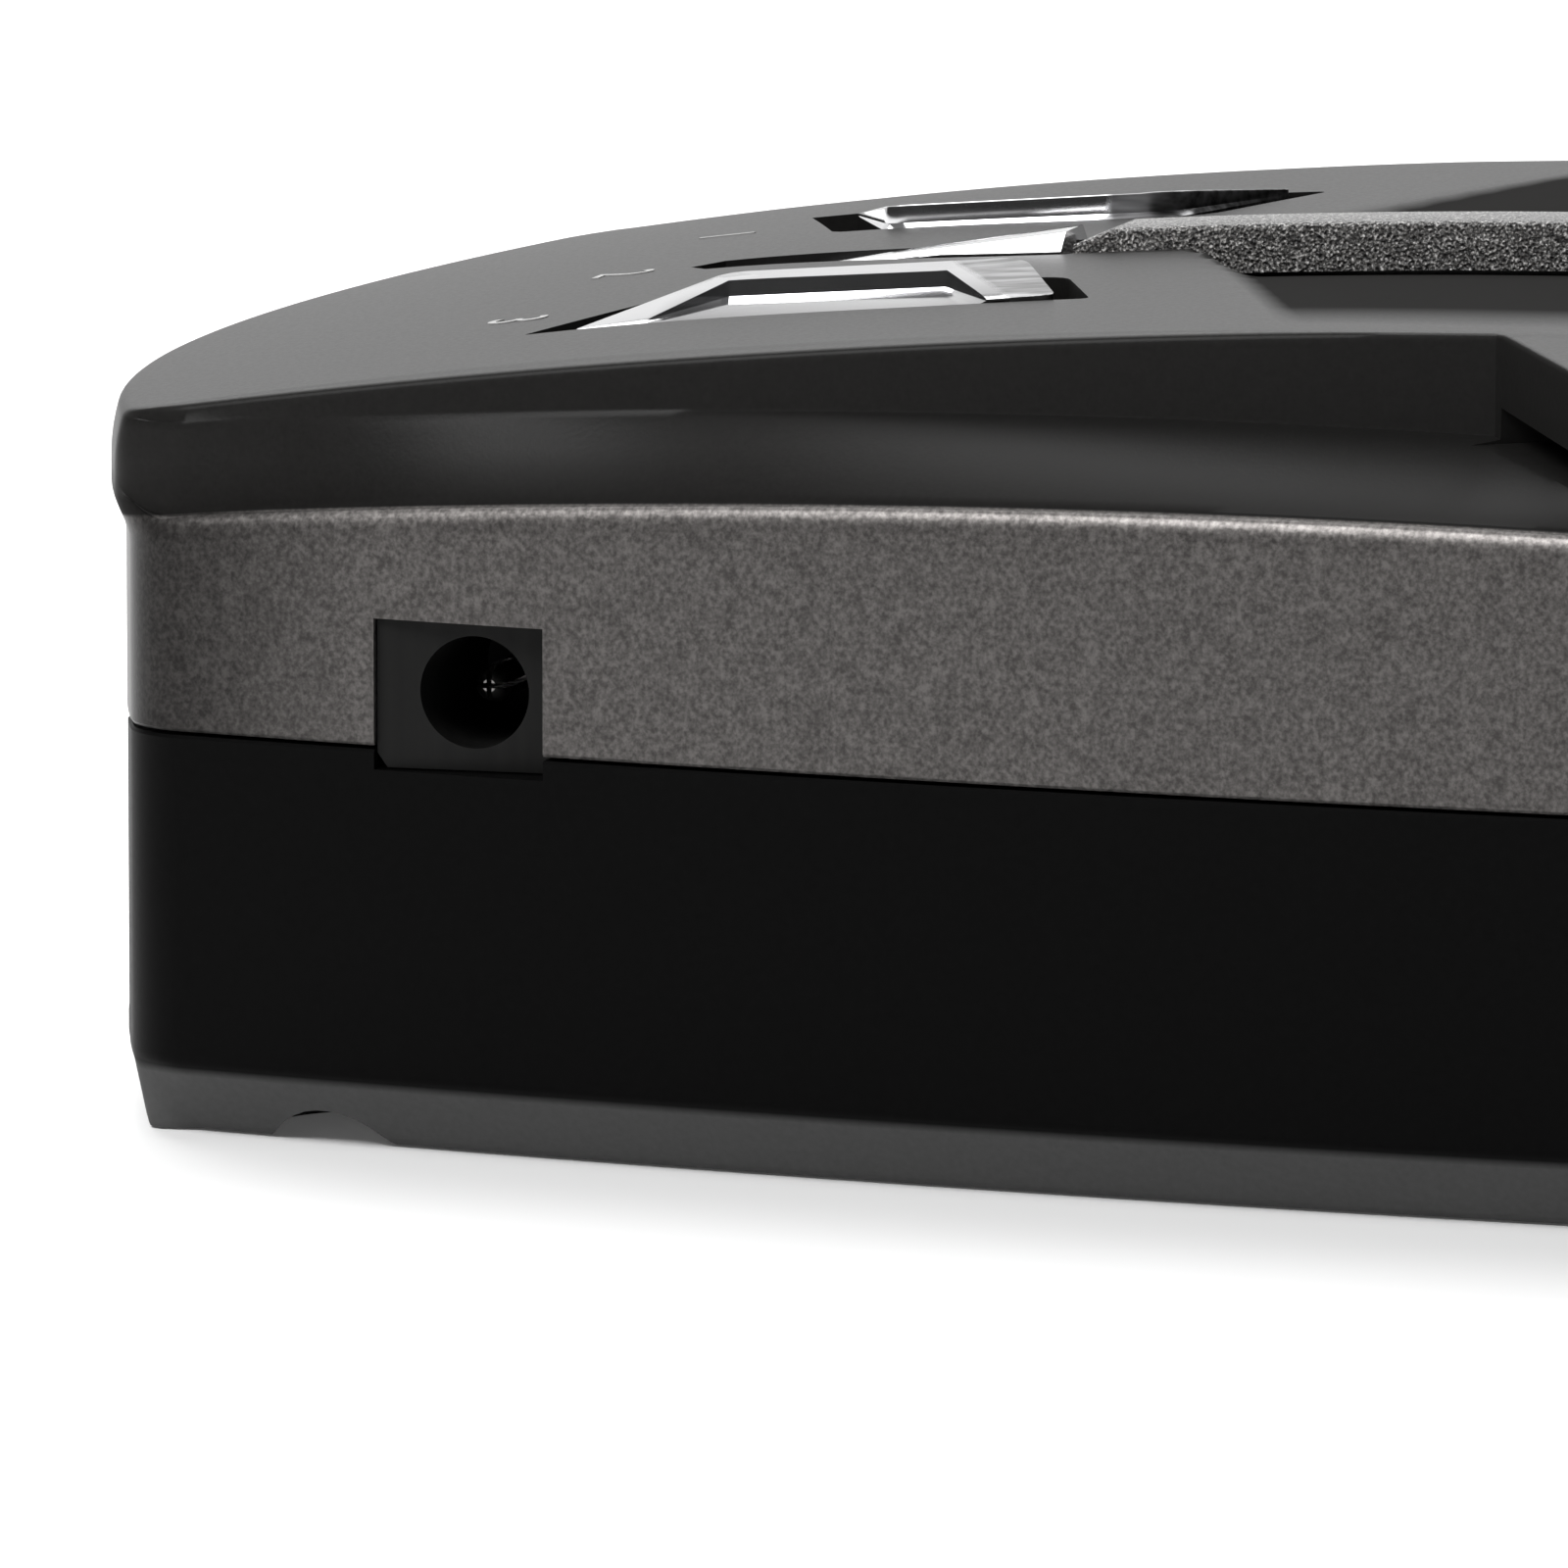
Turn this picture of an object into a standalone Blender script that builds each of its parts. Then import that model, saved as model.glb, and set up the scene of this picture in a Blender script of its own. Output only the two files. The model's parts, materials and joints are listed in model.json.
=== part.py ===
"""Dashboard radar detector: two moulded case halves, chrome buttons and the parts inside.

The rear (display) end faces -Y, the front (antenna) end +Y, and the power inlet is in the +X side.
The origin is on the floor under the middle of the case.
"""
import math

import bmesh
import bpy
from mathutils import Vector

# Sizes are in millimetres and become metres where meshes are made.
MM = 0.001
GAP = 0.3

# Plan outline of the case
HALF_WIDTH = 34.9
WIDEST_Y = 18.2
SIDE_BOW = 0.001615
REAR_Y = -54.5
REAR_RADIUS = 69.0
REAR_CORNER = 3.2
FRONT_Y = 55.0
FRONT_RADIUS = 120.0
FRONT_CORNER = 9.0
WALL = 1.9

# Heights
PART_Z = 13.83
FLOOR_TOP = 1.8
FOOT_INSET = 2.0
FOOT_END_INSET = 0.6
FOOT_HEIGHT = 2.5
ROOF = 1.9
BROW = 0.5

# The wing where the top panel flares out over the shoulder
WING_START = -2.5
WING_END = 3.5
WING_LEDGE = 1.0
SCOOP_DEPTH = 3.5

# Chrome buttons: leaf corners on the +X side, and the middle spear
LEAF_TIP = (18.2, -36.1)
LEAF_OUTER = (17.2, -20.3)
LEAF_INNER = (10.3, -22.8)
SPEAR_TIP_Y = -36.0
SPEAR_FRONT_Y = -23.4
SPEAR_HALF = 1.9
BUTTON_PROUD = 0.85
BUTTON_FOOT_Z = 22.5
BUTTON_GAP = 0.35
SIDE_SWITCH = (14.8, -26.5)
CENTRE_SWITCH = (0.0, -27.5)

# Spine along the top
SPINE_NOSE_Y = -23.0
SPINE_END_Y = 46.0
SPINE_HALF = 1.7
SPINE_DRAFT = 0.35
SPINE_PROUD = 0.75
SPINE_DEEP = 0.9

# Hollows beside the spine
DISH_APEX_Y = -18.8
DISH_ARM_Y = -10.6
DISH_END_Y = 38.0
DISH_HALF = 23.0
DISH_DEPTH = 0.8
DISH_LANES = 5
DISH_ROWS = 8

# Power inlet in the +X wall
JACK_Y = (-39.9, -33.8)
JACK_Z = (13.15, 18.15)
JACK_HOLE = (-36.5, 15.8)
JACK_HOLE_R = 1.9
JACK_PIN_R = 0.62
JACK_FACE_X = 29.2
JACK_FLANGE = 2.4
JACK_DEPTH = 9.0

# Thumbwheel in the -X wall
WHEEL_X = -25.4
WHEEL_Y = -29.0
WHEEL_R = 7.0
WHEEL_Z = (14.5, 17.3)
WHEEL_TEETH = 36

# Screws through the bottom
SCREW_REAR = (24.2, -41.6)
SCREW_FRONT = (25.0, 40.0)
WELL_R = 3.7
WELL_DEPTH = 3.2
BOSS_R = 4.3
BOSS_TOP = 11.0
POST_R = 2.4
POST_TOP = 24.8
HANGER_TOP = 27.2
SHANK_R = 1.2

# Boards and windows
BOARD_Z = (11.3, 12.9)
BUTTON_BOARD_Z = (17.6, 18.8)
WINDOW_HALF = 23.5
WINDOW_Z = (3.4, 13.55)
WINDOW_THICK = 1.8
WINDOW_INSET = 0.65
FRONT_WINDOW_HALF = 20.0
FRONT_WINDOW_Z = (4.6, 11.4)
SPEAKER_Y = 8.0
SPEAKER_R = 13.5
SLOTS = 7
SLOT_PITCH = 3.0

for old in list(bpy.data.objects):
    bpy.data.objects.remove(old)

parts = bpy.data.collections.new("radar_detector")
cutters = bpy.data.collections.new("cutters")
bpy.context.scene.collection.children.link(parts)
bpy.context.scene.collection.children.link(cutters)


def material(name, colour, roughness, metallic=0.0):
    made = bpy.data.materials.new(name)
    made.use_nodes = True
    shader = made.node_tree.nodes["Principled BSDF"]
    shader.inputs["Base Color"].default_value = (*colour, 1.0)
    shader.inputs["Roughness"].default_value = roughness
    shader.inputs["Metallic"].default_value = metallic
    return made


GREY_PAINT = material("grey_metallic_paint", (0.09, 0.088, 0.085), 0.42, 0.5)
BLACK_PLASTIC = material("black_plastic", (0.008, 0.008, 0.008), 0.45)
SPARK_BLACK = material("textured_black", (0.03, 0.03, 0.03), 0.6)
CHROME = material("chrome", (0.85, 0.85, 0.86), 0.06, 1.0)
SMOKED = material("smoked_window", (0.02, 0.015, 0.015), 0.08)
BOARD_GREEN = material("board_green", (0.02, 0.12, 0.05), 0.5)
STEEL = material("steel", (0.55, 0.55, 0.57), 0.3, 1.0)
CAST = material("cast_zinc", (0.45, 0.45, 0.46), 0.45, 1.0)
PAPER = material("speaker_paper", (0.05, 0.05, 0.055), 0.8)
RED_DIGITS = material("display_face", (0.12, 0.02, 0.02), 0.3)
CLEAR = material("lens_acrylic", (0.6, 0.6, 0.65), 0.05)
ALUMINIUM = material("aluminium", (0.7, 0.7, 0.72), 0.35, 1.0)


def smooth(low, high, value):
    share = min(max((value - low) / (high - low), 0.0), 1.0)
    return share * share * (3.0 - 2.0 * share)


def mix(first, second, share):
    return first + (second - first) * share


# Curves that shape the case, in plan and in height

def half_width(y):
    return HALF_WIDTH - SIDE_BOW * (y - WIDEST_Y) ** 2


def rear_edge(x):
    return REAR_Y + x * x / (2.0 * REAR_RADIUS)


def front_edge(x):
    return FRONT_Y - x * x / (2.0 * FRONT_RADIUS)


def lip_height(y):
    return 23.18 - 0.00117 * (y + 6.5) ** 2


def shelf_width(y):
    """Width of the sloping shoulder between the lip and the raised top panel."""
    behind_wing = 0.5 + 0.153 * (min(y, WING_START) + 47.5)
    flare = min(max((y - WING_START) / (WING_END - WING_START), 0.0), 1.0)
    return mix(behind_wing, WING_LEDGE, flare)


def foot_height(y):
    """Where the shoulder meets the wall of the top panel."""
    flare = min(max((y - WING_START) / (WING_END - WING_START), 0.0), 1.0)
    return mix(25.63 - 0.0015 * (y + 17.0) ** 2, lip_height(y) + 0.8, flare)


def top_height(x, y):
    arch = 28.72 - 0.00172 * (y + 0.48) ** 2
    edge = half_width(y) - shelf_width(y)
    crown = 0.45 - 0.3 * smooth(-36.5, -22.5, y)
    roll = 0.17 * max(abs(x) - 27.0, 0.0)
    return arch + crown * (1.0 - min(abs(x) / edge, 1.0) ** 2) - roll


def side_slope(y):
    return -2.0 * SIDE_BOW * (y - WIDEST_Y)


def corner_arc(edge, inward, radius):
    """Middle of the arc that rounds a bowed end into the side, and the x where the bow stops."""
    low, high = 0.0, HALF_WIDTH
    for _ in range(50):
        x = (low + high) / 2.0
        slope = (edge(x + 0.01) - edge(x - 0.01)) / 0.02
        normal = Vector((-slope, 1.0)).normalized() * inward
        middle = Vector((x, edge(x))) + normal * radius
        reach = half_width(middle.y) - middle.x
        if reach > radius * math.hypot(1.0, side_slope(middle.y)):
            low = x
        else:
            high = x
    return middle, x, -normal


def side_normal(y):
    return Vector((1.0, -side_slope(y))).normalized()


def arc_points(middle, start, end, radius, count):
    """Points round a corner from one outward direction to another, each with its direction."""
    first = math.atan2(start.y, start.x)
    last = math.atan2(end.y, end.x)
    made = []
    for step in range(count + 1):
        angle = mix(first, last, step / count)
        normal = Vector((math.cos(angle), math.sin(angle)))
        made.append((middle + normal * radius, normal))
    return made


def half_outline(bow_steps=5, corner_steps=5, side_steps=18):
    """The +X half of the plan from the rear middle to the front middle, with outward normals."""
    rear_middle, rear_x, rear_normal = corner_arc(rear_edge, 1.0, REAR_CORNER)
    front_middle, front_x, front_normal = corner_arc(front_edge, -1.0, FRONT_CORNER)
    points = []
    for step in range(bow_steps):
        x = rear_x * step / bow_steps
        points.append((Vector((x, rear_edge(x))), Vector((x / REAR_RADIUS, -1.0)).normalized()))
    rear_side = side_normal(rear_middle.y)
    front_side = side_normal(front_middle.y)
    points += arc_points(rear_middle, rear_normal, rear_side, REAR_CORNER, corner_steps)
    low = points[-1][0].y
    high = (front_middle + front_side * FRONT_CORNER).y
    stations = [mix(low, high, step / side_steps) for step in range(1, side_steps)]
    stations = [y for y in stations if not WING_START - 2.0 < y < WING_END + 2.0]
    stations += [WING_START - 1.5, WING_START, WING_START + 2.0, WING_END - 2.0, WING_END, WING_END + 1.5]
    for y in sorted(stations):
        points.append((Vector((half_width(y), y)), side_normal(y)))
    points += arc_points(front_middle, front_side, front_normal, FRONT_CORNER, corner_steps)
    for step in reversed(range(bow_steps)):
        x = front_x * step / bow_steps
        points.append((Vector((x, front_edge(x))), Vector((x / FRONT_RADIUS, 1.0)).normalized()))
    return points


def full_outline(half):
    """The whole plan, counter-clockwise from the rear middle."""
    mirrored = [(Vector((-p.x, p.y)), Vector((-n.x, n.y))) for p, n in reversed(half[1:-1])]
    return half + mirrored


HALF = half_outline()
OUTLINE = full_outline(HALF)


def add_object(name, mesh, paint, cutter=False):
    made = bpy.data.objects.new(name, mesh)
    (cutters if cutter else parts).objects.link(made)
    if cutter:
        made.hide_render = True
        made.display_type = "WIRE"
    else:
        mesh.materials.append(paint)
    return made


def finish_mesh(name, bm, paint, cutter=False, sharp=35.0):
    """Turn millimetres into metres and make the object."""
    bm.normal_update()
    bmesh.ops.recalc_face_normals(bm, faces=bm.faces)
    bmesh.ops.scale(bm, vec=Vector((MM, MM, MM)), verts=bm.verts)
    mesh = bpy.data.meshes.new(name)
    bm.to_mesh(mesh)
    bm.free()
    mesh.shade_smooth()
    mesh.set_sharp_from_angle(angle=math.radians(sharp))
    return add_object(name, mesh, paint, cutter)


def loft(rings, roof=None, lanes=8):
    """Closed mesh through rings of equal count; roof(x, y) shapes the top, or it is left flat."""
    bm = bmesh.new()
    count = len(rings[0])
    loops = [[bm.verts.new(point) for point in ring] for ring in rings]
    for below, above in zip(loops, loops[1:]):
        for i in range(count):
            j = (i + 1) % count
            bm.faces.new((below[i], below[j], above[j], above[i]))
    bm.faces.new(list(reversed(loops[0])))
    top = loops[-1]
    if roof is None:
        bm.faces.new(top)
        return bm
    half = count // 2
    rows = [[top[0]]]
    for j in range(1, half):
        right, left = top[j], top[count - j]
        row = [right]
        for lane in range(1, lanes):
            x = mix(right.co.x, left.co.x, lane / lanes)
            y = mix(right.co.y, left.co.y, lane / lanes)
            row.append(bm.verts.new((x, y, roof(x, y))))
        rows.append(row + [left])
    rows.append([top[half]])
    for near, far in zip(rows, rows[1:]):
        if len(near) == 1:
            for a, b in zip(far, far[1:]):
                bm.faces.new((near[0], a, b))
        elif len(far) == 1:
            for a, b in zip(near, near[1:]):
                bm.faces.new((a, far[0], b))
        else:
            for k in range(lanes):
                bm.faces.new((near[k], far[k], far[k + 1], near[k + 1]))
    return bm


def prism(points, low, high):
    """Straight-sided solid over a plan outline, between two heights."""
    bm = bmesh.new()
    base = bm.faces.new([bm.verts.new((x, y, low)) for x, y in points])
    lifted = bmesh.ops.extrude_face_region(bm, geom=[base])["geom"]
    tops = [item for item in lifted if isinstance(item, bmesh.types.BMVert)]
    bmesh.ops.translate(bm, vec=Vector((0.0, 0.0, high - low)), verts=tops)
    return bm


def hull(points):
    bm = bmesh.new()
    for point in points:
        bm.verts.new(point)
    bmesh.ops.convex_hull(bm, input=bm.verts)
    return bm


def box(low, high):
    bm = bmesh.new()
    bmesh.ops.create_cube(bm, size=1.0)
    size = Vector(high) - Vector(low)
    bmesh.ops.scale(bm, vec=size, verts=bm.verts)
    bmesh.ops.translate(bm, vec=(Vector(low) + Vector(high)) / 2.0, verts=bm.verts)
    return bm


def rod(middle, radius, low, high, axis="Z", sides=24, tip=None):
    """Cylinder or cone between two heights along an axis; middle gives the other two places."""
    bm = bmesh.new()
    end = radius if tip is None else tip
    bmesh.ops.create_cone(bm, cap_ends=True, segments=sides, radius1=radius, radius2=end, depth=high - low)
    for vert in bm.verts:
        a, b, along = vert.co.x, vert.co.y, vert.co.z + (low + high) / 2.0
        if axis == "Z":
            vert.co = (a + middle[0], b + middle[1], along)
        elif axis == "X":
            vert.co = (along, a + middle[0], b + middle[1])
        else:
            vert.co = (b + middle[0], along, a + middle[1])
    return bm


def turned(name, profile, paint, place, axis="Z", sides=28):
    """A profile of (radius, height) spun about its axis; it runs down the outer side."""
    mesh = bpy.data.meshes.new(name)
    points = [(radius * MM, 0.0, height * MM) for radius, height in profile]
    closed = profile[0][0] > 0.0
    edges = [(i, i + 1) for i in range(len(points) - 1)]
    if closed:
        edges.append((len(points) - 1, 0))
    mesh.from_pydata(points, edges, [])
    made = add_object(name, mesh, paint)
    made.location = Vector(place) * MM
    if axis == "Y":
        made.rotation_euler = (math.radians(-90.0), 0.0, 0.0)
    spin = made.modifiers.new("turn", "SCREW")
    spin.steps = sides
    spin.render_steps = sides
    spin.use_merge_vertices = True
    spin.merge_threshold = 0.00001
    spin.use_smooth_shade = True
    return made


def boolean(target, tool, operation="DIFFERENCE"):
    step = target.modifiers.new(tool.name, "BOOLEAN")
    step.operation = operation
    step.object = tool


def cut(target, name, bm):
    boolean(target, finish_mesh(name, bm, None, cutter=True))


def join(target, name, bm):
    boolean(target, finish_mesh(name, bm, None, cutter=True), "UNION")


def bevelled(target, width, segments=2):
    step = target.modifiers.new("edges", "BEVEL")
    step.width = width * MM
    step.segments = segments
    step.limit_method = "ANGLE"
    step.angle_limit = math.radians(40.0)


def origin_to(target, place):
    """Put an object's origin on a point without moving its mesh."""
    shift = Vector(place) * MM
    for vert in target.data.vertices:
        vert.co -= shift
    target.location = shift


def inset_ring(outline, inset, height):
    return [(p.x - n.x * inset, p.y - n.y * inset, height) for p, n in outline]


# Plan shapes of the buttons and their openings

def curve_points(start, control, end, steps):
    """Points of a quadratic curve, without its last."""
    made = []
    for step in range(steps):
        t = step / steps
        a = mix(start[0], control[0], t), mix(start[1], control[1], t)
        b = mix(control[0], end[0], t), mix(control[1], end[1], t)
        made.append((mix(a[0], b[0], t), mix(a[1], b[1], t)))
    return made


def leaf(grow=0.0, tip_grow=0.0, front_grow=0.0, steps=6):
    """Leaf outline on the +X side: pointed tip to the rear, round end to the front."""
    tip = (LEAF_TIP[0] + grow * 0.3, LEAF_TIP[1] - grow - tip_grow)
    outer = (LEAF_OUTER[0] + grow, LEAF_OUTER[1] + front_grow)
    inner = (LEAF_INNER[0] - grow, LEAF_INNER[1] + front_grow)
    bulge = ((outer[0] + inner[0]) / 2.0 + 0.8, max(outer[1], inner[1]) + 1.8 + grow)
    points = curve_points(tip, (tip[0] + 1.2 + grow, -28.0), outer, steps)
    points += curve_points(outer, bulge, inner, steps)
    points += curve_points(inner, (12.6 - grow, -30.5), tip, steps)
    return points


def spear(grow=0.0, tip_grow=0.0, front_grow=0.0):
    """Spear outline of the middle button, from its rear tip to its flat front end."""
    half = SPEAR_HALF + grow
    front = SPEAR_FRONT_Y + front_grow
    tip = SPEAR_TIP_Y - grow - tip_grow
    right = curve_points((0.0, tip), (half * 0.75, mix(tip, front, 0.5)), (half, front), 5) + [(half, front)]
    left = [(-x, y) for x, y in reversed(right[1:])]
    return right + left


def mirrored(points):
    return [(-x, y) for x, y in reversed(points)]


# Upper case

REAR_BROW = (
    (0.0, None),
    (0.0, -4.4),
    (-0.7 * BROW, -2.6),
    (-BROW, -2.0),
    (-BROW, -1.4),
    (-0.7 * BROW, -0.9),
    (-0.2 * BROW, -0.5),
    (0.8 * BROW, -0.15),
    (2.0 * BROW, 0.0),
)
FRONT_ROUND = (
    (0.0, None),
    (0.0, -6.0),
    (0.1, -4.4),
    (0.3, -3.0),
    (0.7, -1.9),
    (1.2, -1.1),
    (1.8, -0.6),
    (2.4, -0.25),
    (3.2, 0.0),
)


def side_profile(y):
    """Inset and height from the parting plane, over lip and shoulder, to the top panel's edge."""
    lip, foot, shelf = lip_height(y), foot_height(y), shelf_width(y)
    first = min(0.45, shelf * 0.5)
    return (
        (0.0, None),
        (0.0, lip - 0.4),
        (0.12, lip - 0.08),
        (first, lip + 0.25),
        (mix(first, shelf, 0.4), mix(lip + 0.25, foot, 0.55)),
        (mix(first, shelf, 0.75), mix(lip + 0.25, foot, 0.88)),
        (shelf, foot),
        (shelf + 0.15, None),
        (shelf + 0.4, None),
    )


def upper_rings(outline):
    rings = [[] for _ in REAR_BROW]
    for point, normal in outline:
        side = smooth(0.35, 0.93, abs(normal.x))
        end = REAR_BROW if point.y < 0.0 else FRONT_ROUND
        flank = side_profile(point.y)
        for level, ring in enumerate(rings):
            inset = mix(end[level][0], flank[level][0], side)
            x, y = point.x - normal.x * inset, point.y - normal.y * inset
            roof = top_height(x, y)
            if level == 0:
                height = PART_Z + GAP / 2.0
            else:
                end_height = roof + end[level][1]
                flank_height = flank[level][1]
                if flank_height is None:
                    flank_height = roof - (0.25 if level == 7 else 0.0)
                height = mix(end_height, flank_height, side)
            ring.append((x, y, height))
    return rings


def upper_cavity(outline):
    """Inside of the upper case: straight walls, then a step in under the shoulder and the scoops."""
    rings = [[], [], [], []]
    for point, normal in outline:
        side = smooth(0.35, 0.93, abs(normal.x))
        shoulder = mix(3.4, min(0.5 + 0.2 * (point.y + 47.5), 8.8) + 2.4, side)
        low = mix(18.2, lip_height(point.y) - 2.2, side)
        insets = (WALL, WALL, shoulder, shoulder + 0.6)
        for level, inset in enumerate(insets):
            x, y = point.x - normal.x * inset, point.y - normal.y * inset
            roof = top_height(x, y) - ROOF
            height = (PART_Z - 2.0, low, min(low + 1.6, roof - 0.4), roof)[level]
            rings[level].append((x, y, height))
    return loft(rings, roof=lambda x, y: top_height(x, y) - ROOF)


def scoop(side):
    """Pocket under the wing: a slanting slot whose mouth follows the wing's edge."""
    start, end = Vector((26.4, WING_START - 0.5)), Vector((33.6, WING_END - 0.9))
    along = (end - start).normalized()
    inward = Vector((-along.y, along.x))
    points = []
    for place, low, high in ((start, 25.25, 26.5), (end, 23.95, 25.1)):
        for depth in (-1.5, SCOOP_DEPTH):
            spot = place + inward * depth
            points.append((side * spot.x, spot.y, low))
            points.append((side * spot.x, spot.y, high))
    return hull(points)


def dish(side):
    """Shallow hollow beside the spine, ahead of a slanting step; its floor keeps the case's arch."""
    rings = []
    for lane in range(DISH_LANES + 1):
        share = lane / DISH_LANES
        x = mix(1.0, DISH_HALF, share)
        start = mix(DISH_APEX_Y, DISH_ARM_Y, share)
        depth = mix(DISH_DEPTH, -0.05, share)
        rows = [mix(start, DISH_END_Y, row / DISH_ROWS) for row in range(DISH_ROWS + 1)]
        floor = [(side * x, y, top_height(x, y) - depth) for y in rows]
        lid = [(side * x, y, top_height(x, y) + 3.0) for y in reversed(rows)]
        rings.append(floor + lid)
    return loft(rings)


def spine_section(y, half, low, high):
    """Ring of four corners of the spine's section, wider at its foot."""
    return [(-half - SPINE_DRAFT, y, low), (half + SPINE_DRAFT, y, low), (half, y, high), (-half, y, high)]


def spine_stations():
    return [SPINE_NOSE_Y + 1.4] + [mix(SPINE_NOSE_Y + 3.0, SPINE_END_Y - 2.0, i / 12) for i in range(13)]


def spine_mesh(grow=0.0, lift=0.0):
    """Rib with a bevelled nose; grow and lift make the groove that it lies in."""
    half = SPINE_HALF + grow
    rings = []
    nose, tail = SPINE_NOSE_Y - grow, SPINE_END_Y + grow
    for y in [nose] + spine_stations() + [tail]:
        roof = top_height(0.0, y)
        rise = SPINE_PROUD * (0.35 if y in (nose, tail) else 1.0)
        low = roof - SPINE_DEEP - (GAP if grow else 0.0)
        rings.append(spine_section(y, half, low, roof + rise + lift))
    return loft(rings)


def make_upper_case():
    case = finish_mesh("upper_case", loft(upper_rings(OUTLINE), roof=top_height), GREY_PAINT)
    cut(case, "upper_cavity", upper_cavity(OUTLINE))
    for number, (x, y) in enumerate(screw_places()):
        join(case, f"post_{number}", rod((x, y), POST_R, BOARD_Z[0] + 0.2, POST_TOP))
        cut(case, f"pilot_{number}", rod((x, y), SHANK_R + 0.15, BOARD_Z[0] - 1.0, 18.0, sides=16))
    for x in (-16.0, 16.0):
        join(case, f"hanger_{x:.0f}", rod((x, -18.5), 1.6, BUTTON_BOARD_Z[1] + 0.2, HANGER_TOP, sides=16))
    for side, name in ((1.0, "right"), (-1.0, "left")):
        cut(case, f"{name}_scoop", scoop(side))
        cut(case, f"{name}_dish", dish(side))
        points = leaf(BUTTON_GAP, 1.4, 0.9)
        cut(case, f"{name}_leaf_hole", prism(points if side > 0 else mirrored(points), 20.0, 32.0))
    cut(case, "spear_hole", prism(spear(BUTTON_GAP, 1.4, 0.2), 20.0, 32.0))
    cut(case, "spine_groove", spine_mesh(grow=0.2, lift=3.0))
    jack_low, jack_high = JACK_Y[0] - GAP / 2.0, JACK_Y[1] + GAP / 2.0
    jack_back = JACK_FACE_X - JACK_FLANGE - 0.1
    cut(case, "jack_window", box((jack_back, jack_low, 12.0), (36.0, jack_high, JACK_Z[1] + GAP / 2.0)))
    cut(case, "wheel_slot", box((-36.0, WHEEL_Y - 6.3, 12.0), (WHEEL_X, WHEEL_Y + 6.3, WHEEL_Z[1] + 0.5)))
    return case


# Lower case

def screw_places():
    made = []
    for x, y in (SCREW_REAR, SCREW_FRONT):
        made += [(x, y), (-x, y)]
    return made


def bowed_plate(edge, half, thick, inset, low, high, inward, steps=12):
    """Plate that follows a bowed end of the case; inward is +1 at the rear and -1 at the front."""
    outer = []
    inner = []
    for step in range(steps + 1):
        x = mix(-half, half, step / steps)
        outer.append((x, edge(x) + inward * inset))
        inner.append((x, edge(x) + inward * (inset + thick)))
    return prism(outer + list(reversed(inner)), low, high)


def foot_ring():
    """Edge of the bottom: a wide chamfer along the sides, a narrow one round the ends."""
    ring = []
    for point, normal in OUTLINE:
        inset = mix(FOOT_END_INSET, FOOT_INSET, smooth(0.35, 0.93, abs(normal.x)))
        ring.append((point.x - normal.x * inset, point.y - normal.y * inset, 0.0))
    return ring


def make_lower_case():
    rings = [
        foot_ring(),
        inset_ring(OUTLINE, 0.0, FOOT_HEIGHT),
        inset_ring(OUTLINE, 0.0, PART_Z - GAP / 2.0),
    ]
    case = finish_mesh("lower_case", loft(rings), BLACK_PLASTIC)
    hollow = [inset_ring(OUTLINE, WALL + 0.5, FLOOR_TOP), inset_ring(OUTLINE, WALL, FLOOR_TOP + 2.5)]
    hollow.append(inset_ring(OUTLINE, WALL, PART_Z + 2.0))
    cut(case, "lower_cavity", loft(hollow))
    for number, (x, y) in enumerate(screw_places()):
        join(case, f"boss_{number}", rod((x, y), BOSS_R, FLOOR_TOP - 0.1, BOSS_TOP))
        cut(case, f"well_{number}", rod((x, y), WELL_R, -1.0, WELL_DEPTH))
        shank_hole = rod((x, y), SHANK_R + 0.3, WELL_DEPTH - 1.0, BOSS_TOP + 1.0, sides=16)
        cut(case, f"shank_hole_{number}", shank_hole)
    half = WINDOW_HALF + GAP
    cut(case, "rear_opening", bowed_plate(rear_edge, half, 5.0, -2.0, WINDOW_Z[0] - GAP, 16.0, 1.0))
    half = FRONT_WINDOW_HALF + GAP
    low, high = FRONT_WINDOW_Z[0] - GAP, FRONT_WINDOW_Z[1] + GAP
    cut(case, "front_opening", bowed_plate(front_edge, half, 5.0, -2.0, low, high, -1.0))
    for number in range(SLOTS):
        x = (number - (SLOTS - 1) / 2.0) * SLOT_PITCH
        reach = math.sqrt(SPEAKER_R ** 2 - x * x) - 3.0
        slot = box((x - 0.6, SPEAKER_Y - reach, -1.0), (x + 0.6, SPEAKER_Y + reach, 4.0))
        cut(case, f"sound_slot_{number}", slot)
    jack_low, jack_high = JACK_Y[0] - GAP / 2.0, JACK_Y[1] + GAP / 2.0
    jack_back = JACK_FACE_X - JACK_FLANGE - 0.1
    cut(case, "jack_sill", box((jack_back, jack_low, JACK_Z[0] - 0.2), (36.0, jack_high, 16.0)))
    return case


def make_windows():
    low, high = WINDOW_Z
    plate = bowed_plate(rear_edge, WINDOW_HALF, WINDOW_THICK, WINDOW_INSET, low, high, 1.0)
    rear = finish_mesh("display_window", plate, SMOKED)
    low, high = FRONT_WINDOW_Z
    plate = bowed_plate(front_edge, FRONT_WINDOW_HALF, 1.6, 0.25, low, high, -1.0)
    front = finish_mesh("front_window", plate, SMOKED)
    bevelled(rear, 0.25)
    bevelled(front, 0.25)


# Buttons, with their origins at the middle of the push

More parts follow.
